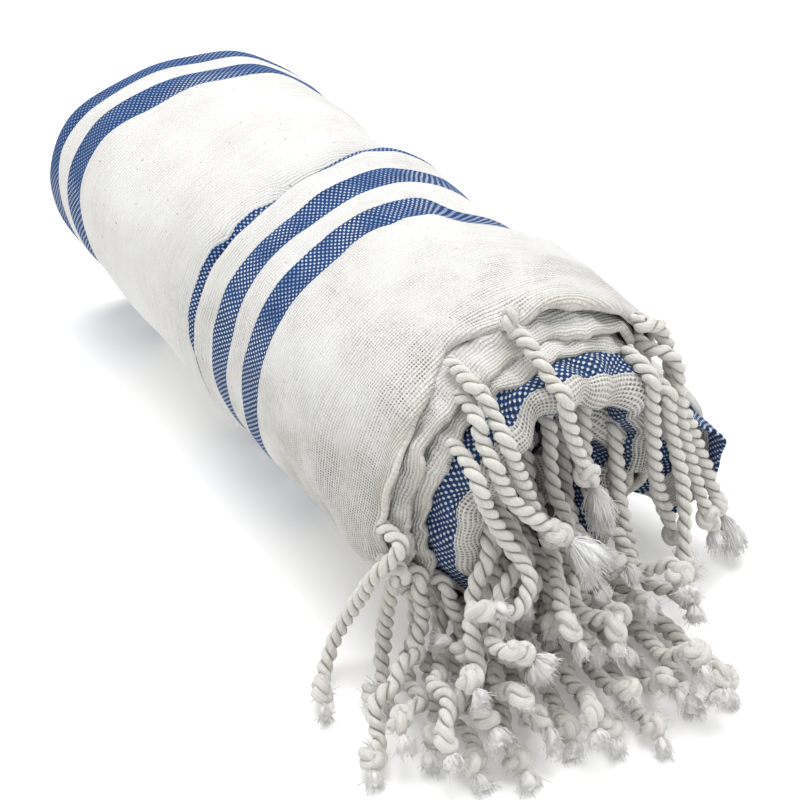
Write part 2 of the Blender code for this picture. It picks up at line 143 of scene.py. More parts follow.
HEIGHT_RATIO = HALF_HEIGHT / HALF_WIDTH
RADIUS_X = HALF_WIDTH + PACK * (turn_at(0.0) + turn_at(180.0)) / 2.0
RADIUS_Z = HALF_HEIGHT + PACK * HEIGHT_RATIO * (turn_at(90.0) + turn_at(270.0)) / 2.0
CENTRE_X = HALF_WIDTH - (RADIUS_X - PACK * turn_at(0.0))
CENTRE_Z = RADIUS_Z - PACK * HEIGHT_RATIO * turn_at(270.0) - FLAT_PRESS

SECTIONS = table_of(
    "along swell",
    (0.000, 0.0000), (0.012, 0.0006), (0.034, -0.0002), (0.060, -0.0010), (0.086, -0.0010), (0.104, -0.0004),
    (0.112, 0.0002), (0.170, -0.0004), (0.195, 0.0000), (0.2120, -0.0002), (0.2300, -0.0002),
)
FRONT_EDGES = table_of(
    "turn outer_edge inner_edge",
    (0.00, 0.0000, -0.0030), (0.30, 0.0000, -0.0040), (0.55, 0.0000, -0.0065), (0.85, -0.0010, -0.0080),
    (1.10, -0.0080, -0.0150), (1.30, -0.0115, -0.0190), (1.55, -0.0100, -0.0200), (1.90, -0.0120, -0.0190),
    (2.10, -0.0160, -0.0080), (2.40, -0.0165, 0.0060), (2.70, -0.0140, 0.0080), (3.00, 0.0000, 0.0080),
    (3.40, 0.0060, 0.0000), (5.00, 0.0050, 0.0040),
)
# On the upper right the roll stands out over its round section, all its layers together.
SHOULDER_ANGLE = 47.0
SHOULDER_LEFT = 30.0
SHOULDER_RIGHT = 22.0
SHOULDER_DEPTH = 0.05
SHOULDERS = table_of(
    "along out",
    (-0.010, 0.0034), (0.005, 0.0042), (0.042, 0.0062), (0.062, 0.0036), (0.095, 0.0044), (0.130, 0.0036),
    (0.147, 0.0014), (0.170, 0.0030), (0.228, 0.0054),
)


def slant(along):
    return np.interp(along, (SLANT_START, SLANT_END), (SLANT_FRONT, SLANT_REAR))


def angle_of(turn):
    """Angle round the roll, from 0 to 360, of a turn."""
    return (FREE_EDGE + 360.0 * np.asarray(turn)) % 360.0


def past_angle(turn, angle):
    """How far round a turn lies past an angle, from -180 to 180."""
    return (angle_of(turn) - angle + 180.0) % 360.0 - 180.0


def shoulder(turn, depth, along):
    past = past_angle(turn, SHOULDER_ANGLE)
    weight = bell(past, 0.0, np.where(past > 0.0, SHOULDER_LEFT, SHOULDER_RIGHT))
    return value_at(SHOULDERS, "out", along) * weight * np.clip(1.0 - depth / SHOULDER_DEPTH, 0.0, 1.0)


def wound(turn, depth, along, out):
    """Points of the wound cloth: depth lies under the outer turn's start, and out stands over it."""
    out = out + shoulder(turn, depth, along)
    angle = np.radians(FREE_EDGE + 360.0 * turn)
    x = CENTRE_X + (RADIUS_X - depth + out) * np.cos(angle)
    z = CENTRE_Z + (RADIUS_Z - depth * HEIGHT_RATIO + out) * np.sin(angle)
    under = np.maximum(depth - PACK * np.mod(turn, 1.0), 0.0) * HEIGHT_RATIO
    z = np.maximum(z, np.minimum(under, CENTRE_Z))
    return np.stack([x, HEM_Y + along + slant(along) * x, z], axis=-1)


def swell_weight(turn):
    """0 on the flat spot below the roll and 1 away from it."""
    return np.clip((np.abs(past_angle(turn, BOTTOM)) - BOTTOM_HALF) / BOTTOM_FADE, 0.0, 1.0)


def outer_swell(turn, along):
    """How far the outer cloth stands out: the CAD's sections and lumps."""
    angle = np.radians(angle_of(turn))
    wave = np.sin(2.0 * angle + along * 42.0) + 0.7 * np.sin(3.0 * angle - along * 61.0 + 1.3)
    fade = np.clip(along / LUMP_FADE, 0.0, 1.0) * np.clip((ROLL_LENGTH - along) / LUMP_FADE, 0.0, 1.0)
    return (value_at(SECTIONS, "swell", along) + LUMP_HEIGHT * wave * fade) * swell_weight(turn)


def lift_at(turn, along):
    """The loose outer edge's lift at the front, from 0 to 1."""
    near = np.clip(1.0 - (turn / LIFT_TURN) ** 2, 0.0, 1.0)
    return near * np.clip(1.0 - np.maximum(along, 0.0) / LIFT_LENGTH, 0.0, 1.0) ** 1.5


# ---------------------------------------------------------------- meshes
def add_object(name, data):
    made = bpy.data.objects.new(name, data)
    bpy.context.scene.collection.objects.link(made)
    return made


def add_mesh(name, points, faces, looks, uv=None, face_looks=None, **values):
    """A smooth mesh; uv holds a pair for each corner of each face, and values a number for each point."""
    mesh = bpy.data.meshes.new(name)
    mesh.from_pydata(np.asarray(points).tolist(), [], faces)
    for look in looks:
        mesh.materials.append(look)
    if face_looks is not None:
        mesh.polygons.foreach_set("material_index", np.array(face_looks, dtype=np.int32))
    if uv is not None:
        layer = mesh.uv_layers.new(name="UVMap")
        layer.data.foreach_set("uv", np.asarray(uv, dtype=np.float32).reshape(-1))
    for label, data in values.items():
        attribute = mesh.attributes.new(label, "FLOAT", "POINT")
        attribute.data.foreach_set("value", np.asarray(data, dtype=np.float32))
    mesh.shade_smooth()
    return add_object(name, mesh)


EDGE_ROUNDING = 0.45


def border(rows, columns):
    """Grid places in order round the edge."""
    top = [(0, column) for column in range(columns)]
    right = [(row, columns - 1) for row in range(1, rows)]
    bottom = [(rows - 1, column) for column in range(columns - 2, -1, -1)]
    left = [(row, 0) for row in range(rows - 2, 0, -1)]
    return top + right + bottom + left


def outwards(grid, row, column):
    """The direction out of a sheet at a place on its border."""
    rows, columns, _ = grid.shape
    step = np.zeros(3)
    if column in (0, columns - 1):
        step += unit(grid[row, column] - grid[row, 1 if column == 0 else columns - 2])
    if row in (0, rows - 1):
        step += unit(grid[row, column] - grid[1 if row == 0 else rows - 2, column])
    return unit(step)


def thick_sheet(name, outer, inner, arc, pattern, openness):
    """One closed mesh of an outer and an inner face, with a rounded edge between them."""
    rows, columns, _ = outer.shape
    count = rows * columns
    grid = np.arange(count).reshape(rows, columns)
    a, b, c, d = grid[:-1, :-1], grid[:-1, 1:], grid[1:, 1:], grid[1:, :-1]
    front = np.stack([a, d, c, b], axis=-1).reshape(-1, 4)
    back = np.stack([a, b, c, d], axis=-1).reshape(-1, 4) + count
    places = border(rows, columns)
    edge = np.array([grid[place] for place in places])
    ring = np.arange(len(edge)) + 2 * count
    edge_next, ring_next = np.roll(edge, -1), np.roll(ring, -1)
    faces = np.concatenate((
        front,
        back,
        np.stack([edge, edge_next, ring_next, ring], axis=-1),
        np.stack([ring, ring_next, edge_next + count, edge + count], axis=-1),
    ))
    outer_points, inner_points = outer.reshape(-1, 3), inner.reshape(-1, 3)
    half = np.linalg.norm(outer_points[edge] - inner_points[edge], axis=1) * EDGE_ROUNDING
    away = np.array([outwards(outer, row, column) for row, column in places])
    middle = (outer_points[edge] + inner_points[edge]) / 2.0 + away * half[:, None]
    middle[:, 2] = np.maximum(middle[:, 2], 0.0)

    def for_all(values):
        return np.concatenate((values, values, values[edge]))

    uv = for_all(np.stack([arc.reshape(-1), pattern.reshape(-1)], axis=-1))
    openness = for_all(np.broadcast_to(np.asarray(openness, dtype=float), (rows, columns)).reshape(-1))
    points = np.concatenate((outer_points, inner_points, middle))
    return add_mesh(name, points, faces.tolist(), (CLOTH,), uv[faces.reshape(-1)], openness=openness)


# ---------------------------------------------------------------- materials
class Value:
    """An output in a material's graph; arithmetic with it adds nodes."""

    def __init__(self, graph, socket):
        self.graph = graph
        self.socket = socket

    def __add__(self, other):
        return self.graph.math("ADD", self, other)

    def __sub__(self, other):
        return self.graph.math("SUBTRACT", self, other)

    def __rsub__(self, other):
        return self.graph.math("SUBTRACT", other, self)

    def __mul__(self, other):
        return self.graph.math("MULTIPLY", self, other)

    def __truediv__(self, other):
        return self.graph.math("DIVIDE", self, other)


class Graph:
    """Short ways to add nodes to one material."""

    def __init__(self, name):
        self.material = bpy.data.materials.new(name)
        self.material.use_nodes = True
        self.tree = self.material.node_tree
        self.shader = self.tree.nodes["Principled BSDF"]

    def plug(self, value, socket):
        """Links a value, or sets a number or a colour."""
        if isinstance(value, Value):
            self.tree.links.new(value.socket, socket)
        else:
            socket.default_value = (*value, 1.0) if isinstance(value, tuple) else value

    def node(self, kind, inputs=None, output=0, **settings):
        """A new node's output, with its inputs given by number or by name."""
        made = self.tree.nodes.new(kind)
        for label, value in settings.items():
            setattr(made, label, value)
        for label, value in (inputs or {}).items():
            self.plug(value, made.inputs[label])
        return Value(self, made.outputs[output])

    def math(self, operation, first, second=0.0):
        return self.node("ShaderNodeMath", {0: first, 1: second}, operation=operation)

    def ramp(self, value, low, high, to_low=0.0, to_high=1.0):
        inputs = {"Value": value, "From Min": low, "From Max": high, "To Min": to_low, "To Max": to_high}
        return self.node("ShaderNodeMapRange", inputs, "Result", interpolation_type="SMOOTHSTEP")

    def mix(self, share, first, second, blend="MIX"):
        inputs = {0: share, 6: first, 7: second}
        return self.node("ShaderNodeMix", inputs, 2, data_type="RGBA", blend_type=blend)

    def noise(self, vector, scale, detail=2.0, roughness=0.5):
        inputs = {"Vector": vector, "Scale": scale, "Detail": detail, "Roughness": roughness}
        return self.node("ShaderNodeTexNoise", inputs, "Fac")

    def vector(self, x, y, z=0.0):
        return self.node("ShaderNodeCombineXYZ", {0: x, 1: y, 2: z})

    def attribute(self, name):
        return self.node("ShaderNodeAttribute", output="Fac", attribute_name=name)

    def uv(self):
        both = {0: self.node("ShaderNodeUVMap", uv_map="UVMap")}
        return [self.node("ShaderNodeSeparateXYZ", both, axis) for axis in (0, 1)]

    def bump(self, height, distance, strength):
        return self.node("ShaderNodeBump", {"Height": height, "Distance": distance, "Strength": strength})

    def finish(self, colour, roughness, normal, sheen):
        inputs = {"Base Color": colour, "Roughness": roughness, "Normal": normal, "Sheen Weight": sheen,
                  "Sheen Roughness": 0.6, "Specular IOR Level": 0.15}
        for label, value in inputs.items():
            self.plug(value, self.shader.inputs[label])
        return self.material


WHITE = (1.0, 1.0, 1.0)
CREAM = (0.725, 0.719, 0.694)
CREAM_SLUB = (0.655, 0.645, 0.612)
CREAM_BLOTCH = (0.755, 0.752, 0.739)
SPECK = (0.22, 0.18, 0.13)
NAVY = (0.003, 0.023, 0.100)
NAVY_SLUB = (0.009, 0.062, 0.215)
PALE_TIGHT = (0.19, 0.28, 0.46)
PALE_SLACK = (0.60, 0.67, 0.77)
SLACK_TINT = (0.93, 0.90, 0.84)
RIM_TINT = (0.90, 0.86, 0.76)
PORE_SHADE = (0.12, 0.11, 0.095)
CORD_DARK = (0.61, 0.59, 0.54)
CORD_LIGHT = (0.82, 0.81, 0.775)
CORD_BLOTCH = (0.70, 0.67, 0.60)
CORD_GROOVE_SHADE = (0.15, 0.13, 0.10)
YARN_DARK = (0.80, 0.79, 0.765)
YARN_LIGHT = (0.95, 0.95, 0.94)
PAPER_DARK = (0.93, 0.93, 0.925)
PAPER_LIGHT = (0.95, 0.95, 0.95)

# The cloth's pattern runs along the warp. Each piece of cloth has a stretch of it to itself, in metres.
WARP_STEP = 0.00092
WEFT_STEP = 0.00112
FRONT_PATTERN = 0.0
REAR_PATTERN = 0.20
FOLD_PATTERN = 0.60
CORNER_PATTERN = 0.80
PLAIN_PATTERN = 1.00
BANDS = table_of(
    "stretch start end",
    (FRONT_PATTERN, 0.0705, 0.0815),
    (FRONT_PATTERN, 0.0910, 0.1015),
    (FRONT_PATTERN, 0.1122, 0.1230),
    (REAR_PATTERN, 0.0900, 0.1180),
    (REAR_PATTERN, 0.1930, 0.2045),
    (REAR_PATTERN, 0.2140, 0.2265),
    (FOLD_PATTERN, 0.0100, 0.0205),
    (FOLD_PATTERN, 0.0310, 0.0415),
    (FOLD_PATTERN, 0.0520, 0.0620),
    (CORNER_PATTERN, -0.0300, 0.0000),
    (CORNER_PATTERN, 0.0130, 0.0230),
)


def in_band(graph, row, band):
    after = graph.math("GREATER_THAN", row, band.stretch + band.start)
    return after * graph.math("LESS_THAN", row, band.stretch + band.end)


def woven_cotton():
    graph = Graph("woven_cotton")
    u, v = graph.uv()
    place = graph.vector(u, v)
    # The threads stray a little to both sides.
    stray_u = graph.noise(place, 90.0, 3.0, 0.6)
    stray_v = graph.noise(graph.vector(v, u, 0.3), 110.0, 3.0, 0.6)
    warp = graph.math("SINE", (u + (stray_u - 0.5) * 0.0010) * (math.pi / WARP_STEP))
    weft_place = v + (stray_v - 0.5) * 0.0009
    weft = graph.math("SINE", weft_place * (math.pi / WEFT_STEP))
    warp_round = graph.math("ABSOLUTE", warp)
    weft_round = graph.math("ABSOLUTE", weft)
    warp_over = graph.ramp(warp * weft, 0.28, 0.50)
    # Stripes keep to whole weft threads.
    row = graph.math("ROUND", weft_place / WEFT_STEP) * WEFT_STEP
    blue = functools.reduce(operator.add, [in_band(graph, row, band) for band in BANDS])
    # Natural cotton: slubs along both threads, soft blotches and a few darker specks.
    slub_weft = graph.noise(graph.vector(u * 40.0, v / WEFT_STEP), 1.0)
    slub_warp = graph.noise(graph.vector(u / WARP_STEP, v * 40.0, 5.0), 1.0)
    blotch = graph.noise(place, 34.0, 3.0, 0.6)
    cream = graph.mix(graph.ramp(slub_weft, 0.35, 0.75), CREAM, CREAM_SLUB)
    cream = graph.mix(graph.ramp(blotch, 0.35, 0.7), cream, CREAM_BLOTCH)
    speck = graph.noise(graph.vector(u, v, 2.0), 620.0, 1.0)
    cream = graph.mix(graph.ramp(speck, 0.735, 0.78, 0.0, 0.75), cream, SPECK)
    navy = graph.mix(graph.ramp(slub_weft, 0.3, 0.7), NAVY, NAVY_SLUB)
    # Where the cloth is drawn tight the blue weft covers most of the pale warp.
    openness = graph.attribute("openness")
    pale = graph.mix(graph.ramp(openness, 0.0, 0.35), PALE_TIGHT, PALE_SLACK)
    colour = graph.mix(warp_over, graph.mix(blue, cream, navy), graph.mix(blue, cream, pale))
    # The pores between the threads are darker, most where the cloth is slack: the open weave is real, the
    # dark in its pores is painted shade.
    slack = graph.ramp(openness, 0.35, 1.0)
    thread = graph.math("MAXIMUM", warp_round, weft_round)
    pore_edge = graph.ramp(slack, 0.0, 1.0, 0.35, 0.52)
    pore = 1.0 - graph.ramp(thread, pore_edge, graph.ramp(slack, 0.0, 1.0, 0.86, 0.96))
    cell = graph.noise(graph.vector(u / WARP_STEP, v / WEFT_STEP, 9.0), 0.62, 1.0)
    pore = pore * graph.ramp(cell, 0.36, 0.60, graph.ramp(slack, 0.0, 1.0, 0.12, 0.55), 1.0)
    patch = graph.noise(graph.vector(u, v, 7.0), 55.0, 3.0)
    patchy = graph.ramp(patch, 0.38, 0.62, graph.ramp(slack, 0.0, 1.0, 0.30, 0.70), 1.0)
    depth = pore * patchy * graph.ramp(openness, 0.0, 1.0, 0.22, 1.0)
    colour = graph.mix(slack * 0.35, colour, SLACK_TINT, "MULTIPLY")
    # Rolled hems are a little yellower.
    front_rim = graph.ramp(v, 0.001, 0.0055, 1.0, 0.0)
    plain_rim = graph.ramp(v, PLAIN_PATTERN + 0.001, PLAIN_PATTERN + 0.0055, 1.0, 0.0)
    plain_rim = plain_rim * graph.math("GREATER_THAN", v, PLAIN_PATTERN - 0.01)
    rims = graph.math("MAXIMUM", front_rim, plain_rim) * 0.45
    colour = graph.mix(rims, colour, RIM_TINT, "MULTIPLY")
    # Painted shade in the pores.
    colour = graph.mix(depth * 0.90, colour, PORE_SHADE)
    relief = warp_over * warp_round + (1.0 - warp_over) * weft_round
    relief = relief + slub_warp * 0.5 + slub_weft * 0.7 - depth * 0.8
    relief = relief * (graph.ramp(openness, 0.0, 0.8, 0.75, 1.25) + rims)
    roughness = graph.ramp(blotch, 0.2, 0.8, 0.82, 0.95)
    return graph.finish(colour, roughness, graph.bump(relief, 0.00035, 0.85), 0.05)


def spun_cord():
    graph = Graph("spun_cord")
    u, v = graph.uv()
    around = u * (2.0 * math.pi)
    ring_x = graph.math("COSINE", around) * 7.0
    ring_y = graph.math("SINE", around) * 7.0
    fibre = graph.noise(graph.vector(ring_x, ring_y, v * 170.0), 1.0, 4.0, 0.7)
    blotch = graph.noise(graph.vector(u, v * 60.0, 4.0), 1.0)
    colour = graph.mix(graph.ramp(fibre, 0.25, 0.75), CORD_DARK, CORD_LIGHT)
    colour = graph.mix(graph.ramp(blotch, 0.45, 0.8, 0.0, 0.35), colour, CORD_BLOTCH)
    # Painted shade: the groove between the plies is darkened in the colour.
    colour = graph.mix(graph.attribute("groove") * 0.85, colour, CORD_GROOVE_SHADE)
    return graph.finish(colour, 0.9, graph.bump(fibre, 0.0006, 0.7), 0.15)


def loose_yarn():
    graph = Graph("loose_yarn")
    u, v = graph.uv()
    strand = graph.noise(graph.vector(u * 3.0, v, 1.0), 3.0, 3.0, 0.7)
    colour = graph.mix(graph.ramp(strand, 0.3, 0.7), YARN_DARK, YARN_LIGHT)
    return graph.finish(colour, 0.85, graph.bump(strand, 0.0004, 0.7), 0.2)


def paper_floor():
    graph = Graph("paper_floor")
    grain = graph.noise(graph.node("ShaderNodeTexCoord", output="Object"), 400.0)
    # The backdrop is lit from below as well, so that only soft shadows show on it.
    graph.plug(WHITE, graph.shader.inputs["Emission Color"])
    graph.plug(0.14, graph.shader.inputs["Emission Strength"])
    colour = graph.mix(grain, PAPER_DARK, PAPER_LIGHT)
    return graph.finish(colour, 0.8, graph.bump(grain, 0.00002, 0.2), 0.0)


CLOTH = woven_cotton()
CORD = spun_cord()
YARN = loose_yarn()

# ---------------------------------------------------------------- camera, light and floor
CAMERA_PLACE = Vector((-0.238, -0.419, 0.3321))
CAMERA_TURN = math.radians(-32.16)
CAMERA_DOWN = math.radians(33.98)
SENSOR_WIDTH = 36.0
PHOTO_WIDTH = 800.0
LENS_PIXELS = 1601.4
WORLD_LIGHT = 0.47
LIGHTS = table_of(
    "name place aim size power",
    ("key", (0.12, 0.13, 1.00), (0.0, 0.0, 0.04), 0.9, 11.0),
    ("front_fill", (-0.55, -1.10, 0.45), (0.0, -0.12, 0.04), 0.7, 1.5),
    ("left_fill", (-0.95, 0.50, 0.60), (0.0, 0.10, 0.04), 0.8, 2.9),
    ("right_fill", (0.65, -0.85, 0.50), (0.05, -0.12, 0.05), 0.7, 2.3),
)
FLOOR_HALF = 6.0
FLOOR_DROP = 0.0002


def look_matrix(place, back):
    """A camera's or lamp's place, with its back in the given direction and its sides level."""
    right = (-back).cross(Vector((0.0, 0.0, 1.0))).normalized()
    up = back.cross(right)
    return Matrix((
        (right.x, up.x, back.x, place.x),
        (right.y, up.y, back.y, place.y),
        (right.z, up.z, back.z, place.z),
        (0.0, 0.0, 0.0, 1.0),
    ))


def add_camera():
    data = bpy.data.cameras.new("photo_camera")
    data.lens = SENSOR_WIDTH * LENS_PIXELS / PHOTO_WIDTH
    data.sensor_width = SENSOR_WIDTH
    data.clip_start = 0.01
    camera = add_object("photo_camera", data)
    level = math.cos(CAMERA_DOWN)
    back = Vector((math.sin(CAMERA_TURN) * level, -math.cos(CAMERA_TURN) * level, math.sin(CAMERA_DOWN)))
    camera.matrix_world = look_matrix(CAMERA_PLACE, back)
    bpy.context.scene.camera = camera


def add_lights():
    world = bpy.data.worlds.new("studio")
    world.use_nodes = True
    background = world.node_tree.nodes["Background"]
    background.inputs["Color"].default_value = (*WHITE, 1.0)
    background.inputs["Strength"].default_value = WORLD_LIGHT
    bpy.context.scene.world = world
    bpy.context.scene.view_settings.view_transform = "Standard"
    for light in LIGHTS:
        data = bpy.data.lights.new(light.name, "AREA")
        data.size = light.size
        data.energy = light.power
        place = Vector(light.place)
        lamp = add_object(light.name, data)
        lamp.matrix_world = look_matrix(place, (place - Vector(light.aim)).normalized())


def add_floor():
    corners = [(FLOOR_HALF * x, FLOOR_HALF * y, 0.0) for x, y in ((-1, -1), (1, -1), (1, 1), (-1, 1))]
    floor = add_mesh("studio_floor", corners, [(0, 1, 2, 3)], (paper_floor(),))
    floor.location.z = -FLOOR_DROP


add_camera()
add_lights()
add_floor()

# ---------------------------------------------------------------- the cloth
CLOTH_THICK = 0.0011
CUFF_ALONG = 0.1120
CREVICE_ALONG = 0.1110
# The cuff's wave round the roll, also followed by the stripes near it.
CUFF_SHIFT = table_of(
    "angle back",
    (0, 0.0040), (20, 0.0064), (40, 0.0084), (62, 0.0070), (77, 0.0030), (90, 0.0), (100, -0.0015),
    (113, -0.0040), (123, -0.0035), (137, -0.0015), (150, 0.0), (290, 0.0), (345, 0.0022), (360, 0.0040),
)
# The front hem's line round the roll: how far back from its plane it lies.
FRONT_HEM = table_of(
    "angle back",
    (10, 0.0), (42, -0.0050), (60, -0.0046), (73, -0.0016), (84, 0.0016), (103, 0.0034), (115, 0.0066),
    (121, 0.0040), (127, 0.0008), (139, -0.0010), (152, -0.0044), (166, -0.0050), (195, -0.0016), (230, 0.0),
)
# How far back the blue in the crevice behind the cuff reaches.
CREVICE_BLUE = table_of(
    "angle reach",
    (0, 0.1170), (62, 0.1190), (92, 0.1140), (104, 0.1138), (119, 0.1186), (128, 0.1192), (134, 0.1184),
    (141, 0.1212), (152, 0.1228), (167, 0.1232), (190, 0.1250), (345, 0.1170),
)
FOLD_REACH = table_of(
    "turn reach",
    (1.02, -0.0150), (1.2, -0.0185), (1.45, -0.0195), (1.9, -0.0190), (2.05, -0.0120), (2.4, -0.002),
    (3.0, 0.004),
)
FOLD_SIZE = table_of("turn size", (1.0, 1.0), (2.0, 0.95), (3.0, 0.6))
# The sheets' profiles: depth from the profile's own layer, and distance from its edge, cuff or hem's plane.
FRONT_RIM = table_of("depth along", (0.0022, -0.0004), (0.0004, 0.0006), (0.0, 0.006))
FRONT_RUN = table_of("depth along", (0.0, 0.03), (0.0, 0.06), (0.0, 0.085))
FRONT_CUFF = table_of(
    "depth along", (0.0, -0.008), (0.0, -0.0006), (0.0024, 0.0010), (0.0046, -0.0010), (0.0050, -0.008),
)
REAR_CREVICE = table_of(
    "depth along",
    (0.0088, -0.009), (0.0088, 0.0), (0.0074, 0.0045), (0.0046, 0.0105), (0.0025, 0.020), (0.0012, 0.034),
)
REAR_RUN = table_of(
    "depth along",
    (0.0004, 0.172), (0.0, 0.190), (0.0, 0.207), (0.0001, 0.2185), (0.0012, 0.2235), (0.0034, 0.2268),
    (0.0062, 0.2274), (0.0088, 0.2252), (0.0104, 0.2200),
)
FAR_ROLL = table_of(
    "depth along",
    (0.0002, 0.2150), (0.0006, 0.2205), (0.0022, 0.2255), (0.0050, 0.2276), (0.0078, 0.2258),
    (0.0096, 0.2205), (0.0102, 0.2150),
)
LAYER_RIM = table_of("depth along", (0.0014, -0.0006), (0.0, 0.0), (-0.0004, 0.004))
# Here depth is a share of how far out a layer's back lies.
LAYER_BACK = table_of("depth along", (-0.45, 0.008), (-1.0, 0.020))
FOLD_PROFILE = table_of(
    "depth along",
    (-0.0084, 0.030), (-0.0074, 0.014), (-0.0068, 0.0065), (-0.0046, 0.0006), (-0.0020, -0.0016),
    (0.0020, -0.0014), (0.0044, 0.0008), (0.0058, 0.0065), (0.0064, 0.016), (0.0066, 0.030),
)
CORE_PROFILE = table_of(
    "depth along",
    (0.0002, 0.030), (0.0006, 0.006), (0.0024, 0.0), (0.0060, -0.001), (0.0092, 0.004), (0.0100, 0.030),
)
EDGE_CUFF = table_of(
    "depth along",
    (0.0, -0.018), (0.0082, -0.006), (0.0088, 0.002), (0.0070, 0.008), (0.0030, 0.020), (0.0014, 0.034),
)
EDGE_RUN = table_of("depth along", (0.0006, 0.172), (0.0002, 0.19))
# Round dents low on the left of the front cloth, and lumps on the rear cloth.
FRONT_DENTS = table_of(
    "angle along height size",
    (192.0, 0.052, -0.0022, 0.012), (200.0, 0.031, -0.0018, 0.010),
    (172.0, 0.018, -0.0012, 0.012), (150.0, 0.008, -0.0010, 0.010),
)
REAR_LUMPS = table_of(
    "angle along height size",
    (150.0, 0.150, 0.0020, 0.022), (98.0, 0.140, 0.0016, 0.020),
    (135.0, 0.121, 0.0014, 0.007), (70.0, 0.165, 0.0014, 0.024),
)
# Ridges and hollows that grow along the rear cloth towards its far end.
FAR_RIDGES = table_of(
    "angle width height start length",
    (150.0, 34.0, 0.0026, 0.135, 0.05), (212.0, 26.0, -0.0062, 0.135, 0.05),
    (95.0, 30.0, 0.0004, 0.135, 0.05), (71.0, 12.0, 0.0024, 0.165, 0.035),
)
# The fold's crown lies here in its stretch of the pattern.
FOLD_CROWN = 0.0266
# The loose edge's layers, under the outer turn's start.
EDGE_DEPTHS = (0.0030, 0.0056, 0.0080)
# The rear cloth's last columns turn in at the far end.
REAR_COLUMNS = 112
REAR_TURNED = 30


def cuff_shift(turn):
    return value_at(CUFF_SHIFT, "back", angle_of(turn))


def shifted(profile, depth, along, size=1.0):
    """A profile's corners from a depth and a place along the roll, its own depths at a size."""
    return [(depth + point.depth * size, along + point.along) for point in profile]


def turns(first, last, step=0.0016):
    """Turns at about equal steps round the roll, in metres."""
    radius = RADIUS_X - PACK * (first + last) / 2.0
    count = int(round((last - first) * 2.0 * math.pi * radius / step)) + 1
    return np.linspace(first, last, count)


def rim(run, thick, thin, width):
    """Sheet thickness that falls from a thick rolled hem to the cloth."""
    return thin + (thick - thin) * (1.0 - smooth(run / width))


def add_lumps(surface, lumps, angle, along):
    """Raises a surface by round lumps, or lowers it by dents."""
    for lump in lumps:
        distance = np.hypot((angle - lump.angle) * math.pi / 180.0 * HALF_WIDTH, along - lump.along)
        surface += lump.height * bell(distance, 0.0, lump.size)


class Cloth:
    """A sheet laid by profiles: each turn has corners (depth, along), rounded and cut into equal steps."""

    def __init__(self, at_turns, corners_of, columns, pattern_start, passes=3):
        lines = [resampled(rounded(np.array(corners_of(turn)), passes), columns) for turn in at_turns]
        self.depth = np.array([points[:, 0] for points, _ in lines])
        self.along = np.array([points[:, 1] for points, _ in lines])
        self.run = np.array([run for _, run in lines])
        self.turn = np.repeat(at_turns[:, None], columns, axis=1)
        self.out = np.zeros_like(self.depth)
        radius = RADIUS_X - self.depth.mean(axis=1)
        arc = running(np.diff(at_turns) * 2.0 * math.pi * radius[1:])
        self.arc = np.repeat(arc[:, None], columns, axis=1)
        self.pattern = self.run + pattern_start
        self.thickness = np.full_like(self.depth, CLOTH_THICK)

    def points(self):
        made = wound(self.turn, self.depth, self.along, self.out)
        lift = lift_at(self.turn, self.along) * (self.depth < PACK)
        angle = np.radians(FREE_EDGE + 360.0 * self.turn)
        made[..., 0] += LIFT_OUT * lift * np.cos(angle)
        made[..., 2] += LIFT_OUT * lift * np.sin(angle)
        made[..., 1] -= LIFT_FORWARD * lift
        return made

    def build(self, name, openness):
        """The sheet's object, and its length round the roll and width along the warp when it was flat."""
        points = self.points()
        normal = np.cross(np.gradient(points, axis=1), np.gradient(points, axis=0))
        normal /= np.maximum(np.linalg.norm(normal, axis=2, keepdims=True), 1e-12)
        inner = points - normal * self.thickness[..., None]
        inner[..., 2] = np.maximum(inner[..., 2], 0.0)
        around = np.linalg.norm(np.diff(points, axis=0), axis=2).sum(axis=0).mean()
        along = np.linalg.norm(np.diff(points, axis=1), axis=2).sum(axis=1).mean()
        piece = thick_sheet(name, points, inner, self.arc, self.pattern, openness)
        return piece, (float(around), float(along))


def front_pattern(cloth, hem):
    """Where the front cloth's weave and stripes lie."""
    along = cloth.along
    # The weave keeps its place on the roll wherever the hem's line lies.
    pattern = cloth.pattern + hem + 1.1 * shoulder(cloth.turn, 0.0, along) * smooth(along / 0.05)
    pattern = pattern - cuff_shift(cloth.turn) * np.clip(along / 0.110, 0.0, 1.0) ** 2
    # On the right the stripes slant forwards, all the way to the loose edge.
    past = past_angle(cloth.turn, 0.0)
    right = smooth((76.0 - past) / 36.0) * (0.45 + 0.55 * smooth((past - 2.0) / 42.0))
    right *= smooth((past + 60.0) / 30.0)
    right *= smooth((0.108 - along) / (0.045 + 0.045 * smooth((50.0 - past) / 25.0)))
    pattern = pattern + 0.0175 * right
    pattern += 0.0035 * bell(along, 0.066, 0.014) * bell(past, 58.0, 9.0)
    pattern += 0.0007 * waves(9, cloth.arc, along, 0.03, 0.09)
    # On the right a thin line of the crevice's blue shows on top of the cuff.
    return pattern + 0.0016 * smooth((102.0 - past) / 14.0) * smooth((along - 0.104) / 0.006)


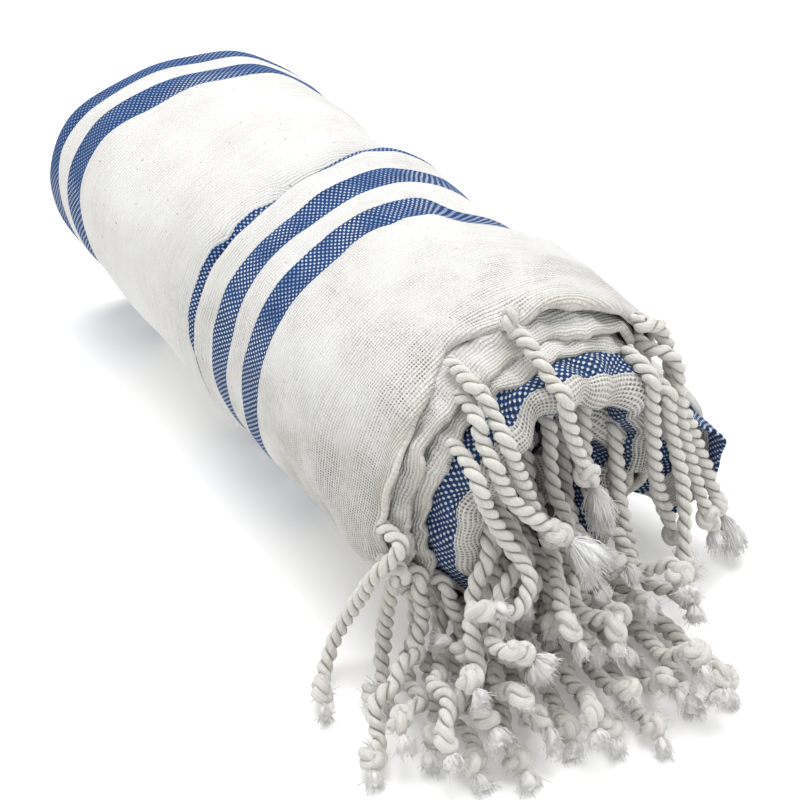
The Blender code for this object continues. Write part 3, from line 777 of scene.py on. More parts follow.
def lay_front():
    def corners(turn):
        base = PACK * turn
        hem_rim = shifted(FRONT_RIM, base, value_at(FRONT_HEM, "back", angle_of(turn)))
        cuff_end = shifted(FRONT_CUFF, base, CUFF_ALONG + cuff_shift(turn))
        return hem_rim + shifted(FRONT_RUN, base, 0.0) + cuff_end

    cloth = Cloth(turns(0.0, 1.03), corners, 104, FRONT_PATTERN)
    arc, along, angle = cloth.arc, cloth.along, angle_of(cloth.turn)
    top = cloth.depth - PACK * cloth.turn < 0.0015
    swell = outer_swell(cloth.turn, along)
    weight = swell_weight(cloth.turn)
    creases = 0.00045 * waves(3, arc, along, 0.018, 0.06) * weight
    # Ripples beside the hem, and dents low on the left.
    hem_ripple = bell(along, 0.012, 0.011) * bell(angle, 82.0, 32.0)
    creases += 0.0005 * hem_ripple * np.sin(along * 2.0 * math.pi / 0.0075 + 0.9 * np.sin(arc * 90.0))
    add_lumps(creases, FRONT_DENTS, angle, along)
    # Low on the left the cloth draws in towards its hem.
    creases -= 0.0022 * bell(np.maximum(along, 0.0), 0.0, 0.022) * bell(angle, 163.0, 22.0)
    # A crease in the shape of an S crosses the top behind the middle.
    bend = along - 0.064 - 0.010 * np.tanh((angle - 88.0) / 7.0)
    creases -= 0.0007 * bell(bend, 0.0, 0.0036) * bell(angle, 88.0, 16.0)
    creases += 0.0004 * bell(bend, 0.006, 0.0045) * bell(angle, 88.0, 16.0)
    # A hollow before the shoulder, where the near stripe dips.
    creases -= 0.0030 * bell(along, 0.068, 0.013) * bell(angle, 66.0, 8.0)
    hem = value_at(FRONT_HEM, "back", angle)
    edge = bell(along, hem, 0.006)
    cloth.out += np.where(top, swell + creases, swell * 0.6)
    cloth.out += edge * 0.0012 * waves(5, arc, along * 0.2, 0.012, 0.05) * weight
    cloth.along += edge * 0.0010 * waves(6, arc, along * 0.2, 0.015, 0.06)
    # The cuff stands out a little before it turns in, and its edge waves.
    before_cuff = bell(along - 0.1085, cuff_shift(cloth.turn), 0.005)
    cloth.out += np.where(top, 0.0008 * before_cuff * weight, 0.0)
    cuff = bell(cloth.run, CUFF_ALONG, 0.006)
    cloth.along += cuff * 0.0006 * waves(8, arc, along * 0.2, 0.010, 0.03) * weight
    cloth.pattern = front_pattern(cloth, hem)
    cloth.thickness = rim(cloth.run, 0.0026 - 0.0007 * smooth((angle - 130.0) / 30.0), CLOTH_THICK, 0.005)
    openness = np.clip(0.70 - along / 0.10, 0.17, 1.0)
    openness = openness + 0.13 * np.clip(waves(11, arc, along, 0.012, 0.05), -1.0, 1.0)
    low = smooth((angle - 138.0) / 28.0)
    openness = np.maximum(openness, low * (0.92 - along / 0.22 + 0.22 * waves(12, arc, along, 0.015, 0.05)))
    openness *= 0.45 + 0.55 * smooth(cloth.run / 0.005)
    return cloth.build("front_cloth", np.clip(openness, 0.0, 1.0))


def rear_pattern(cloth, angle):
    """Where the rear cloth's weave and stripes lie; on the part that turns in they run on along it."""
    past_end = np.arange(REAR_COLUMNS) >= REAR_COLUMNS - REAR_TURNED
    at_end = slice(-REAR_TURNED, 1 - REAR_TURNED)
    run_on = REAR_PATTERN + cloth.along[:, at_end] + (cloth.run - cloth.run[:, at_end])
    pattern = np.where(past_end, run_on, REAR_PATTERN + cloth.along)
    left = smooth((angle - 148.0) / 30.0) * smooth((260.0 - angle) / 40.0)
    pattern += 0.008 * (left * smooth((cloth.along - 0.16) / 0.03))
    blue_end = value_at(CREVICE_BLUE, "reach", angle)
    blue_end = blue_end + 0.0005 * waves(24, cloth.arc, cloth.along * 0.3, 0.008, 0.03)
    return pattern + bell(cloth.along, 0.120, 0.016) * (0.1180 - blue_end)


def lay_rear():
    def corners(turn):
        base = PACK * turn
        return shifted(REAR_CREVICE, base, CREVICE_ALONG + cuff_shift(turn)) + shifted(REAR_RUN, base, 0.0)

    cloth = Cloth(turns(0.0, 1.03), corners, REAR_COLUMNS, REAR_PATTERN)
    arc, along, angle = cloth.arc, cloth.along, angle_of(cloth.turn)
    top = cloth.depth - PACK * cloth.turn < 0.0075
    weight = swell_weight(cloth.turn)
    swell = outer_swell(cloth.turn, along)
    wrinkle = 0.0008 * waves(21, arc, along, 0.022, 0.07) * weight
    # Short wrinkles and pleats rise out of the crevice behind the cuff.
    past_cuff = along - (CREVICE_ALONG + cuff_shift(cloth.turn))
    near = np.exp(-np.maximum(past_cuff, 0.0) / 0.009)
    wrinkle += 0.0012 * near * waves(22, arc, along * 0.35, 0.009, 0.03) * weight
    pleat = bell(past_cuff, 0.007, 0.006) * bell(angle, 122.0, 22.0)
    wrinkle += 0.0005 * pleat * np.sin(past_cuff * 2.0 * math.pi / 0.0026 + 2.0 * np.sin(arc * 60.0))
    add_lumps(wrinkle, REAR_LUMPS, angle, along)
    wrinkle -= 0.0016 * bell(along, 0.146, 0.012) * bell(angle, 112.0, 9.0)
    for ridge in FAR_RIDGES:
        grown = smooth((along - ridge.start) / ridge.length)
        wrinkle += grown * ridge.height * bell(angle, ridge.angle, ridge.width)
    fade = np.clip((ROLL_LENGTH + 0.010 - along) / 0.012, 0.0, 1.0)
    cloth.out += np.where(top, swell + wrinkle * fade, swell)
    cloth.pattern = rear_pattern(cloth, angle)
    openness = 0.05 + 0.5 * near + 0.2 * np.clip(waves(25, arc, along, 0.03, 0.08), -1.0, 1.0)
    return cloth.build("rear_cloth", np.clip(openness, 0.0, 1.0))


def lay_far_turns():
    def corners(turn):
        return shifted(FAR_ROLL, PACK * turn, -0.0012 * turn)

    cloth = Cloth(turns(1.03, 4.9), corners, 22, REAR_PATTERN + 0.2120)
    cloth.along += 0.0014 * waves(31, cloth.arc, cloth.run, 0.02, 0.08)
    cloth.depth += 0.0009 * waves(32, cloth.arc, cloth.run * 0.3, 0.02, 0.07)
    return cloth.build("far_turns", 0.3)


LAYERS = table_of(
    "name first last share edge forward back_depth columns pattern seed",
    ("second_layer", 0.0, 1.04, 0.60, "inner_edge", 0.0018, 0.0040, 30, PLAIN_PATTERN, 81),
    ("third_layer", 1.0, 2.04, 0.06, "outer_edge", 0.0, 0.0036, 30, PLAIN_PATTERN, 91),
    ("inner_layer", 2.04, 2.99, 0.76, "inner_edge", 0.0, 0.0020, 22, CORNER_PATTERN - 0.034, 101),
)


def lay_layer(layer):
    """A layer that comes forward out of the roll, its outer side showing, to a thick ruffled hem."""
    def corners(turn):
        end = value_at(FRONT_EDGES, layer.edge, turn) - layer.forward
        base = PACK * (turn + layer.share)
        return shifted(LAYER_RIM, base, end) + shifted(LAYER_BACK, base, end, layer.back_depth)

    cloth = Cloth(turns(layer.first, layer.last, 0.0013), corners, layer.columns, layer.pattern)
    arc, run = cloth.arc, cloth.run
    weight = swell_weight(cloth.turn) * 0.85 + 0.15
    edge = np.exp(-run / 0.008)
    cloth.depth += 0.0014 * edge * waves(layer.seed, arc, run * 0.3, 0.010, 0.040) * weight
    cloth.depth += 0.0005 * waves(layer.seed + 1, arc, run, 0.005, 0.016) * weight
    cloth.along += 0.0015 * edge * waves(layer.seed + 2, arc, run * 0.2, 0.012, 0.045)
    # Small scallops along the hem, as the pull of the cords leaves them.
    pull = np.exp(-run / 0.005) * 0.0005 * np.sin(arc * 2.0 * math.pi / 0.0092 + 1.3 * np.sin(arc * 70.0))
    cloth.depth += pull * weight
    cloth.thickness = rim(run, 0.0032, 0.0012, 0.0042)
    return cloth.build(layer.name, 0.33 + np.clip(0.26 - run / 0.08, -0.1, 1.0) * smooth(run / 0.005))


def lay_fold():
    """The blue, cream and blue fold that stands furthest forward, its crown wavy."""
    def corners(turn):
        middle = PACK * (turn + 1.02) + 0.0026 * bell(angle_of(turn), 172.0, 26.0)
        reach = value_at(FOLD_REACH, "reach", turn)
        return shifted(FOLD_PROFILE, middle, reach, value_at(FOLD_SIZE, "size", turn))

    cloth = Cloth(turns(1.02, 3.0, 0.0011), corners, 76, FOLD_PATTERN, 2)
    arc, run = cloth.arc, cloth.run
    from_centre = run - run[:, -1:] / 2.0
    cloth.pattern = FOLD_PATTERN + FOLD_CROWN + from_centre
    crown = bell(from_centre, 0.0, 0.0090)
    weight = swell_weight(cloth.turn) * 0.8 + 0.2
    cloth.depth += 0.0021 * crown * waves(41, arc, run * 0.0, 0.011, 0.034, 9) * weight
    cloth.along += 0.0022 * crown * waves(42, arc, run * 0.0, 0.010, 0.040, 9)
    cloth.depth += 0.0009 * waves(43, arc, run, 0.007, 0.026) * weight
    # Further in it is more crumpled.
    deeper = smooth((cloth.turn - 1.95) / 0.2)
    cloth.depth += deeper * 0.0018 * waves(44, arc, run * 0.6, 0.012, 0.03) * weight
    cloth.along += deeper * 0.0030 * waves(45, arc, run * 0.2, 0.014, 0.04) * crown
    cloth.thickness[:] = 0.0010
    # The crown is given the most openness, so its darker pores also paint the shade it lies in.
    return cloth.build("striped_fold", np.clip(0.58 + 0.40 * crown, 0.0, 1.0))


def lay_core():
    def corners(turn):
        return shifted(CORE_PROFILE, PACK * turn, value_at(FRONT_EDGES, "outer_edge", turn) + 0.004)

    cloth = Cloth(turns(3.0, 4.95, 0.0012), corners, 40, CORNER_PATTERN - 0.030)
    cloth.depth += 0.0009 * waves(51, cloth.arc, cloth.run, 0.01, 0.03)
    cloth.along += 0.0024 * waves(52, cloth.arc, cloth.run * 0.3, 0.012, 0.03)
    return cloth.build("core_cloth", 0.5)


def lay_edge_layer(number, depth):
    """One of the folded layers seen at the roll's loose edge, one under another."""
    edge_name = "inner_edge" if number else "outer_edge"

    def corners(turn):
        start = value_at(FRONT_EDGES, edge_name, turn) * 0.6 + 0.002 + 0.002 * number
        sunk = depth + 0.06 * turn
        near = [(sunk, start), (sunk, 0.05)] + shifted(EDGE_CUFF, sunk, CREVICE_ALONG + cuff_shift(turn))
        return near + shifted(EDGE_RUN, sunk, 0.0) + [(sunk, 0.2205 - 0.001 * number)]

    cloth = Cloth(turns(0.004 * number, 0.055, 0.0012), corners, 120, REAR_PATTERN)
    # The stripes run on from the outer cloth.
    cloth.pattern = REAR_PATTERN + cloth.along
    fade = np.exp(-cloth.turn / 0.03)
    cloth.depth += 0.0006 * waves(61 + number, cloth.arc * 0.3, cloth.run, 0.02, 0.07) * fade
    cloth.turn = cloth.turn + fade * 0.006 * waves(71 + number, cloth.arc * 0.2, cloth.run, 0.03, 0.09)
    cloth.thickness[:] = 0.0016
    return cloth.build("edge_layer_%d" % (number + 1), 0.4)


CORNER_ROWS = 44
CORNER_COLUMNS = 34
LOOSE_CORNER = table_of(
    "front_x front_y front_z back_x back_y back_z blue",
    (0.0560, -0.0090, 0.0500, 0.0515, 0.0120, 0.0540, 0.0060),
    (0.0612, -0.0130, 0.0462, 0.0550, 0.0130, 0.0490, 0.0075),
    (0.0660, -0.0177, 0.0432, 0.0580, 0.0140, 0.0430, 0.0080),
    (0.0658, -0.0172, 0.0350, 0.0588, 0.0150, 0.0345, 0.0046),
    (0.0640, -0.0162, 0.0255, 0.0580, 0.0150, 0.0260, 0.0018),
    (0.0600, -0.0134, 0.0166, 0.0550, 0.0140, 0.0180, 0.0012),
    (0.0540, -0.0090, 0.0100, 0.0500, 0.0120, 0.0110, 0.0012),
)


def lay_corner():
    """The striped layer whose corner stands out past the loose edge."""
    lines, _ = resampled(rounded(np.array(LOOSE_CORNER), 1), CORNER_ROWS)
    front_edge, back_edge, blue = lines[:, 0:3], lines[:, 3:6], lines[:, 6]
    share = np.linspace(0.0, 1.0, CORNER_COLUMNS)
    points = front_edge[:, None] * (1.0 - share)[:, None] + back_edge[:, None] * share[:, None]
    down = running(step_lengths(front_edge))
    length = np.linalg.norm(back_edge - front_edge, axis=1)
    arc = np.repeat(down[:, None], CORNER_COLUMNS, axis=1)
    back = length[:, None] * share
    points[..., 0] += 0.0030 * np.sin(share * math.pi) + 0.0007 * waves(111, arc, back, 0.010, 0.03)
    points[..., 1] += HEM_Y + 0.0008 * waves(112, arc, back * 0.3, 0.010, 0.03)
    normal = np.cross(np.gradient(points, axis=1), -np.gradient(points, axis=0))
    normal /= np.linalg.norm(normal, axis=2, keepdims=True)
    # Built upside down, so that its outer side faces outwards like the rolled cloth's.
    grids = (points, points - normal * CLOTH_THICK, arc, CORNER_PATTERN + back - blue[:, None])
    piece = thick_sheet("loose_corner", *[grid[::-1] for grid in grids], 0.6)
    return piece, (float(down[-1]), float(length.mean()))


corner = lay_corner()
sheets = [
    lay_front(),
    lay_rear(),
    lay_far_turns(),
    *[lay_layer(layer) for layer in LAYERS],
    lay_fold(),
    lay_core(),
    *[lay_edge_layer(number, depth) for number, depth in enumerate(EDGE_DEPTHS)],
    corner,
]
for piece, size in sheets:
    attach(piece, "root")
    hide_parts("towel_roll")

# ---------------------------------------------------------------- the fringe's routes
# The cords take the CAD's routes: the same drawn corners, spaced in the same passes.
TURNS = 4
ROW_OUTER_END = 0.42
ROW_INNER_START = 0.50
ROW_INNER_END = 0.94
GAP = 0.0003
STRIP_DEPTH = 0.0022
CORD_RADIUS = 0.0032
CORD_REST = 0.0028
FIRST_RING = 0.0045
TIP_SHAPE = table_of(
    "from_tip radius",
    (0.0000, 0.0042), (0.0070, 0.0046), (0.0115, 0.0038), (0.0170, 0.0058), (0.0230, CORD_RADIUS),
)
HEMS = table_of(
    "name turn edge share_from share_to reach cord_columns",
    ("fringe_front_hem", 0, "outer_edge", 0.14, 0.38, 1.00, (30, 32, 34, 36, 38, 40)),
    ("fringe_second_hem", 0, "inner_edge", 0.58, 0.86, 0.96, (31, 33, 35, 37, 39, 41)),
    ("fringe_third_hem", 1, "outer_edge", 0.04, 0.24, 0.92, (34, 36, 38, 40, 42)),
    ("fringe_inner_hem", 2, "inner_edge", 0.70, 0.94, 0.82, (5, 9, 13, 17, 21, 24, 27, 30, 33, 36, 39, 43)),
    ("fringe_core_hem", 3, "inner_edge", 0.58, 0.86, 0.72, (7, 14, 34, 41)),
)
PLACED_CORDS = table_of(
    "hem column bend_x bend_y bend_z end_x end_y end_z",
    (0, 25, -0.074, 0.016, 0.010, -0.084, -0.030, 0.004),
    (0, 27, -0.060, 0.000, 0.012, -0.054, -0.036, 0.006),
    (1, 28, -0.038, -0.022, 0.010, -0.086, -0.060, 0.004),
    (2, 29, -0.026, -0.030, 0.014, -0.068, -0.064, 0.004),
    (0, 18, -0.024, -0.026, 0.084, 0.002, -0.038, 0.030),
    (0, 14, -0.008, -0.024, 0.094, 0.016, -0.040, 0.044),
    (1, 19, -0.006, -0.032, 0.072, 0.008, -0.068, 0.012),
    (2, 21, -0.016, -0.030, 0.066, -0.032, -0.058, 0.018),
    (0, 8, 0.062, -0.008, 0.062, 0.068, -0.032, 0.006),
    (1, 7, 0.050, -0.018, 0.058, 0.060, -0.040, 0.006),
    (2, 8, 0.040, -0.024, 0.054, 0.042, -0.044, 0.006),
    (2, 6, 0.038, -0.028, 0.046, 0.028, -0.050, 0.010),
)
HEAP_RIM = table_of(
    "root_x rim_x rim_y",
    (-0.050, -0.074, -0.068), (-0.030, -0.056, -0.082), (-0.010, -0.034, -0.092), (0.005, -0.012, -0.092),
    (0.020, 0.006, -0.080), (0.035, 0.026, -0.064), (0.050, 0.046, -0.046),
)
HEAP_MIDDLE = (-0.005, -0.020)
REACH_CHANGE = 0.07
REACH_TURN = 2.4
LAYER_HEIGHT = 0.0052
LAYER_START = 0.7
BEND_SHARE = 0.30
BEND_DROP = 0.15
PASSED_SHARE = 0.40
LEAD_RINGS = 1.6
SHORTEST_CORD = 0.084
LONGEST_CORD = 0.100
CORD_POINTS = 25
FIXED_POINTS = 2
CORD_ROOM = 0.0038
KNOT_ROOM = 0.002
EASE_PASSES = 400
EASE_LAST = 120
SETTLE = 0.00012
HOLD = 0.010
STIFFNESS = 0.10
PUSH = 1.2
NEAR = 4.5
LIST_EVERY = 10
BEHIND = 9.0
UNDER = -0.6


def pack_point(turn, share, along):
    """The CAD's wound point of the folded pack."""
    angle = math.radians(FREE_EDGE + 360.0 * turn)
    depth = PACK * (turn + share)
    x = CENTRE_X + (RADIUS_X - depth) * math.cos(angle)
    z = CENTRE_Z + (RADIUS_Z - depth * HEIGHT_RATIO) * math.sin(angle)
    floor_z = PACK * HEIGHT_RATIO * (math.floor(turn + 1e-9) + share)
    z = max(z, min(floor_z, CENTRE_Z))
    return Vector((x, HEM_Y + along + float(slant(along)) * x, z))


def front_surface(x, z):
    """Y of the roll's front end, or far behind it where the roll has none, and the depth in the roll."""
    across = x - CENTRE_X
    up = (z - CENTRE_Z) * RADIUS_X / RADIUS_Z
    turn = turn_at(np.degrees(np.arctan2(up, across)))
    packs = (RADIUS_X - np.hypot(across, up)) / PACK - turn
    whole = np.clip(np.floor(packs), 0.0, TURNS)
    share = packs - whole
    outer = value_at(FRONT_EDGES, "outer_edge", whole + turn)
    inner = value_at(FRONT_EDGES, "inner_edge", whole + turn)
    following = value_at(FRONT_EDGES, "outer_edge", whole + turn + 1.0)
    into_inner = np.clip((share - ROW_OUTER_END) / (ROW_INNER_START - ROW_OUTER_END), 0.0, 1.0)
    into_next = np.clip((share - ROW_INNER_END) / (1.0 - ROW_INNER_END), 0.0, 1.0)
    along = outer + (inner - outer) * into_inner
    along = along + (following - along) * into_next
    return np.where(packs < 0.0, BEHIND, HEM_Y + along + SLANT_FRONT * x), packs * PACK


def keep_off_roll(points, room):
    """Moves points forward off the roll's front end, or outward off its side where that is nearer."""
    x, y, z = points[..., 0], points[..., 1], points[..., 2]
    front_y, depth = front_surface(x, z)
    front_y = front_y - room - STRIP_DEPTH - GAP
    for step_x, step_z in ((1, 0), (-1, 0), (0, 1), (0, -1)):
        beside, _ = front_surface(x + step_x * room, z + step_z * room)
        front_y = np.minimum(front_y, beside - room - STRIP_DEPTH - GAP)
    forward = np.maximum(y - front_y, 0.0)
    outward = np.maximum(depth + room, 0.0)
    across = x - CENTRE_X
    up = z - CENTRE_Z
    reach = np.hypot(across, up)
    go_out = (outward < forward) & ~(up / reach < UNDER)
    points[..., 0] += np.where(go_out, outward * across / reach, 0.0)
    points[..., 2] += np.where(go_out, outward * up / reach, 0.0)
    points[..., 1] -= np.where(go_out | (outward <= 0.0), 0.0, forward)


def near_pairs(flat, cord_of, reach):
    """Pairs of points of different cords that lie within reach of one another."""
    gaps = flat[:, None, :] - flat[None, :, :]
    close = (gaps ** 2).sum(axis=2) < reach ** 2
    return np.nonzero(np.triu(close & (cord_of[:, None] != cord_of[None, :])))


def ease_apart(routes, room, fixed):
    """Spaces the drawn routes until no two cords, nor a cord and the roll, share room."""
    cords, count, _ = routes.shape
    home = routes.copy()
    spacing = np.linalg.norm(np.diff(routes, axis=1), axis=2)
    cord_of = np.repeat(np.arange(cords), count)
    rooms = room.reshape(-1)
    for step in range(EASE_PASSES):
        last = step >= EASE_PASSES - EASE_LAST
        free = routes[:, fixed:]
        if not last:
            free[..., 2] -= SETTLE
            free += (home[:, fixed:] - free) * HOLD * (1.0 - step / EASE_PASSES)
            middle = (routes[:, fixed - 1:-2] + routes[:, fixed + 1:]) / 2.0
            routes[:, fixed:-1] += (middle - routes[:, fixed:-1]) * STIFFNESS
        flat = routes.reshape(-1, 3)
        if step % LIST_EVERY == 0:
            first, second = near_pairs(flat, cord_of, NEAR * CORD_ROOM)
            first_moves = ((first % count) >= fixed).astype(float)
            second_moves = ((second % count) >= fixed).astype(float)
            moving = np.maximum(first_moves + second_moves, 1.0)
        gap = flat[first] - flat[second]
        length = np.maximum(np.sqrt((gap ** 2).sum(axis=1)), 1e-6)
        short = np.maximum(rooms[first] + rooms[second] - length, 0.0)
        push = gap * (PUSH * short / length / moving)[:, None]
        shift = np.zeros_like(flat)
        np.add.at(shift, first, push * first_moves[:, None])
        np.add.at(shift, second, -push * second_moves[:, None])
        flat += np.clip(shift, -CORD_ROOM, CORD_ROOM)
        keep_off_roll(free, room[:, fixed:])
        free[..., 2] = np.maximum(free[..., 2], room[:, fixed:] - CORD_ROOM + CORD_REST)
        if not last:
            for point in range(fixed, count):
                step_to = routes[:, point] - routes[:, point - 1]
                size = np.maximum(np.linalg.norm(step_to, axis=1), 1e-6)
                routes[:, point] = routes[:, point - 1] + step_to * (spacing[:, point - 1] / size)[:, None]
    return routes


def evenly(points, count, length):
    """Equal steps over a length of a polyline, which runs on straight where it is too short."""
    steps = step_lengths(points)
    run = running(steps)
    if run[-1] < length:
        points[-1] += (points[-1] - points[-2]) / steps[-1] * (length - run[-1])
        run[-1] = length
    return points_at(points, run, np.linspace(0.0, length, count))


def cord_turn(hem, column):
    return hem.turn + (column + 0.5) / SAMPLES


def cord_root(hem, column):
    turn = cord_turn(hem, column)
    along = float(value_at(FRONT_EDGES, hem.edge, turn)) - GAP - STRIP_DEPTH
    return pack_point(turn, (hem.share_from + hem.share_to) / 2.0, along)


def heap_end(root, reach, height):
    """Where a cord ends in the heap: at its rim where the reach is 1, and else nearer its middle."""
    middle_x, middle_y = HEAP_MIDDLE
    x = middle_x + (float(value_at(HEAP_RIM, "rim_x", root.x)) - middle_x) * reach
    y = middle_y + (float(value_at(HEAP_RIM, "rim_y", root.x)) - middle_y) * reach
    return Vector((x, HEM_Y + y, height))


def lead_off(root, bend):
    """A point before the root, clear of what a straight way to the bend would pass."""
    steps = np.linspace(0.0, PASSED_SHARE, 9)
    front_y, _ = front_surface(root.x + (bend.x - root.x) * steps, root.z + (bend.z - root.z) * steps)
    clear = float(front_y.min()) - CORD_ROOM - STRIP_DEPTH - GAP
    return Vector((root.x, min(root.y - FIRST_RING * LEAD_RINGS, clear), root.z))


def cords_of(number, hem):
    for placed in PLACED_CORDS:
        if placed.hem == number:
            root = cord_root(hem, placed.column)
            bend = Vector((placed.bend_x, HEM_Y + placed.bend_y, placed.bend_z))
            end = Vector((placed.end_x, HEM_Y + placed.end_y, placed.end_z))
            yield placed.column, (root, lead_off(root, bend), bend, end)
    for order, column in enumerate(hem.cord_columns):
        root = cord_root(hem, column)
        height = LAYER_HEIGHT * (LAYER_START + number)
        reach = hem.reach + REACH_CHANGE * math.sin(REACH_TURN * order + number)
        end = heap_end(root, reach, height)
        lead = lead_off(root, end)
        bend = lead.lerp(end, BEND_SHARE)
        bend.z = height + BEND_DROP * max(root.z - height, 0.0)
        yield column, (root, lead, bend, end)


def room_at(from_tip):
    """Half the room that a cord takes up, wider beside its knot and brush."""
    nearby = [max(from_tip + step, 0.0) for step in (-KNOT_ROOM, 0.0, KNOT_ROOM)]
    return float(value_at(TIP_SHAPE, "radius", nearby).max()) - CORD_RADIUS + CORD_ROOM


def draw_cords():
    """Each cord's hem and column, and the cords' eased routes."""
    owners = []
    drawn = []
    rooms = []
    for number, hem in enumerate(HEMS):
        for column, corners in cords_of(number, hem):
            points = rounded(np.array([np.array(corner) for corner in corners]), 3)
            straight = sum(float(np.linalg.norm(b - a)) for a, b in zip(points, points[1:]))
            length = min(max(straight, SHORTEST_CORD), LONGEST_CORD)
            owners.append((number, column))
            drawn.append(evenly(points, CORD_POINTS, length))
            rooms.append([room_at(at) for at in np.linspace(length, 0.0, CORD_POINTS)])
    return owners, ease_apart(np.array(drawn), np.array(rooms), FIXED_POINTS)


# ---------------------------------------------------------------- cords, knots and loose yarn
# Each cord is laid from two plies, ends in an overhand knot, and beyond it the yarn is loose.
PLY_RADIUS = 0.00176
PLY_OFFSET = 0.00076
PLY_GROOVE = 0.00028
PLY_PLACES = (0, 22, 44, 62, 78, 90, 102, 118, 136, 158)
TWIST_LENGTH = 0.0084
RINGS_A_TURN = 14
ROOT_RUN = 0.0030
ROOT_LIFT = 0.0008
CORD_END = 0.0150
KNOT_FROM_TIP = 0.0170
KNOT_TUBE = 0.00152
KNOT_RING = 0.0018
KNOT_LOBES = 0.00110
KNOT_RISE = 0.00128
KNOT_STRETCH = 1.06
KNOT_POINTS = 60
KNOT_SIDES = 12
KNOT_YARN = 0.0042
KNOT_FUZZ = 16
YARN_FROM_TIP = 0.0125
YARN_DETAIL = 60.0
TUFT_FIBRES = 110
FULL_LENGTH = 0.0110
FULL_SPREAD = 0.0052
FULL_FIBRES = 420
LONG_TUFT = 0.008
TUFT_BODY = table_of(
    "step opening",
    (0.0, 0.60), (0.15, 1.00), (0.35, 1.30), (0.6, 1.40), (0.85, 1.25), (1.0, 0.85), (1.03, 0.40),
)
BODY_SIDES = 26
BODY_SHARE = 0.86
DROOP = 0.0015
FIBRE_SIDES = 3
# The cords below are given by hem and column.
FULL_TUFTS = ((0, 8), (0, 14), (1, 19))
# Some end short of their solids' tips, in front of the hollow, by this many points of their routes.
CUT_SHORT = {(0, 14): 4, (0, 18): 1, (1, 19): 8}
# How far some roots lie round their hem from the CAD's, in degrees.
ROOT_MOVES = {(0, 14): 1.5, (0, 18): -7.0, (1, 19): -8.0, (2, 21): -9.0}
MOVE_EASE = 0.024
SHOULDER_EASE = 0.05
HEM_EASE = 0.012
# One cord has a second knot, on its root.
ROOT_KNOT = (0, 14)
ROOT_KNOT_SIZE = 0.9
ROOT_KNOT_OUT = 0.003
ROOT_KNOT_FUZZ = 30
CORD_LOOK = 0
YARN_LOOK = 1


class Strands:
    """Meshes of one hem's fringe, gathered into one object."""

    def __init__(self):
        self.points = []
        self.faces = []
        self.uv = []
        self.groove = []
        self.looks = []
        self.count = 0

    def grid(self, points, u, v, look, groove=0.0, capped=True):
        """A tube of rings; u and v have one more column than the rings, for the seam."""
        rings, around, _ = points.shape
        index = np.arange(rings * around).reshape(rings, around) + self.count
        following = np.roll(index, -1, axis=1)
        quads = np.stack([index[:-1], following[:-1], following[1:], index[1:]], axis=-1).reshape(-1, 4)
        uv = np.stack([np.broadcast_to(value, (rings, around + 1)) for value in (u, v)], axis=-1)
        self.uv.append(np.stack([uv[:-1, :-1], uv[:-1, 1:], uv[1:, 1:], uv[1:, :-1]], axis=2).reshape(-1, 2))
        self.faces.extend(quads.tolist())
        if capped:
            self.faces.extend((index[0][::-1].tolist(), index[-1].tolist()))
            self.uv.extend(np.tile((0.5, uv[ring, 0, 1]), (around, 1)) for ring in (0, -1))
        self.points.append(points.reshape(-1, 3))
        self.groove.append(np.broadcast_to(groove, (rings, around)).reshape(-1))
        self.looks.extend([look] * (len(quads) + 2 * capped))
        self.count += rings * around

    def fibre(self, path, thickness, u, v, look):
        """A single fibre, kept above the surface."""
        path[:, 2] = np.maximum(path[:, 2], thickness)
        angle = np.arange(FIBRE_SIDES) * 2.0 * math.pi / FIBRE_SIDES
        self.grid(tube(path, *crosswise(headings(path)), angle[None, :], thickness[:, None]), u, v, look)

    def build(self, name):
        groove = np.concatenate(self.groove)
        points, uv = np.concatenate(self.points), np.concatenate(self.uv)
        return add_mesh(name, points, self.faces, (CORD, YARN), uv, self.looks, groove=groove)


def smooth_route(route, step):
    """Points at about equal steps on a soft curve along a route, and their distances from its start."""
    ends = np.concatenate((route[:1] * 2.0 - route[1:2], route, route[-1:] * 2.0 - route[-2:-1]))
    fine = []
    for k in range(1, len(ends) - 2):
        a, b, c, d = ends[k - 1:k + 3]
        for t in np.linspace(0.0, 1.0, 8, endpoint=False):
            fine.append(0.5 * ((2.0 * b) + (c - a) * t + (2.0 * a - 5.0 * b + 4.0 * c - d) * t ** 2
                               + (3.0 * b - a - 3.0 * c + d) * t ** 3))
    fine = np.array(fine + [route[-1]])
    for _ in range(6):
        fine[1:-1] += ((fine[:-2] + fine[2:]) / 2.0 - fine[1:-1]) * 0.5
    length = running(step_lengths(fine))[-1]
    return resampled(fine, max(int(round(length / step)) + 1, 3))


def headings(points, closed=False):
    """Directions along a curve, one at each point."""
    if closed:
        steps = np.roll(points, -1, axis=0) - np.roll(points, 1, axis=0)
    else:
        steps = np.gradient(points, axis=0)
    return steps / np.linalg.norm(steps, axis=1, keepdims=True)


def level_side(heading):
    """A level direction across a heading, or along X where it is upright."""
    side = np.cross(heading, (0.0, 0.0, 1.0))
    return side if np.linalg.norm(side) >= 0.1 else np.array((1.0, 0.0, 0.0))


def crosswise(along):
    """Two directions across a curve's headings that turn as little as they can."""
    side = level_side(along[0])
    sides = []
    for heading in along:
        side = unit(side - heading * side.dot(heading))
        sides.append(side)
    return np.array(sides), np.cross(along, sides)


def tube(points, side, lift, angle, reach):
    """Rings of points round a curve, kept above the surface."""
    across = side[:, None, :] * np.cos(angle)[..., None] + lift[:, None, :] * np.sin(angle)[..., None]
    made = points[:, None, :] + across * reach[..., None]
    made[..., 2] = np.maximum(made[..., 2], 0.0)
    return made


def any_phase(draw):
    """A drawn angle up to about a full turn."""
    return draw.random() * 6.28


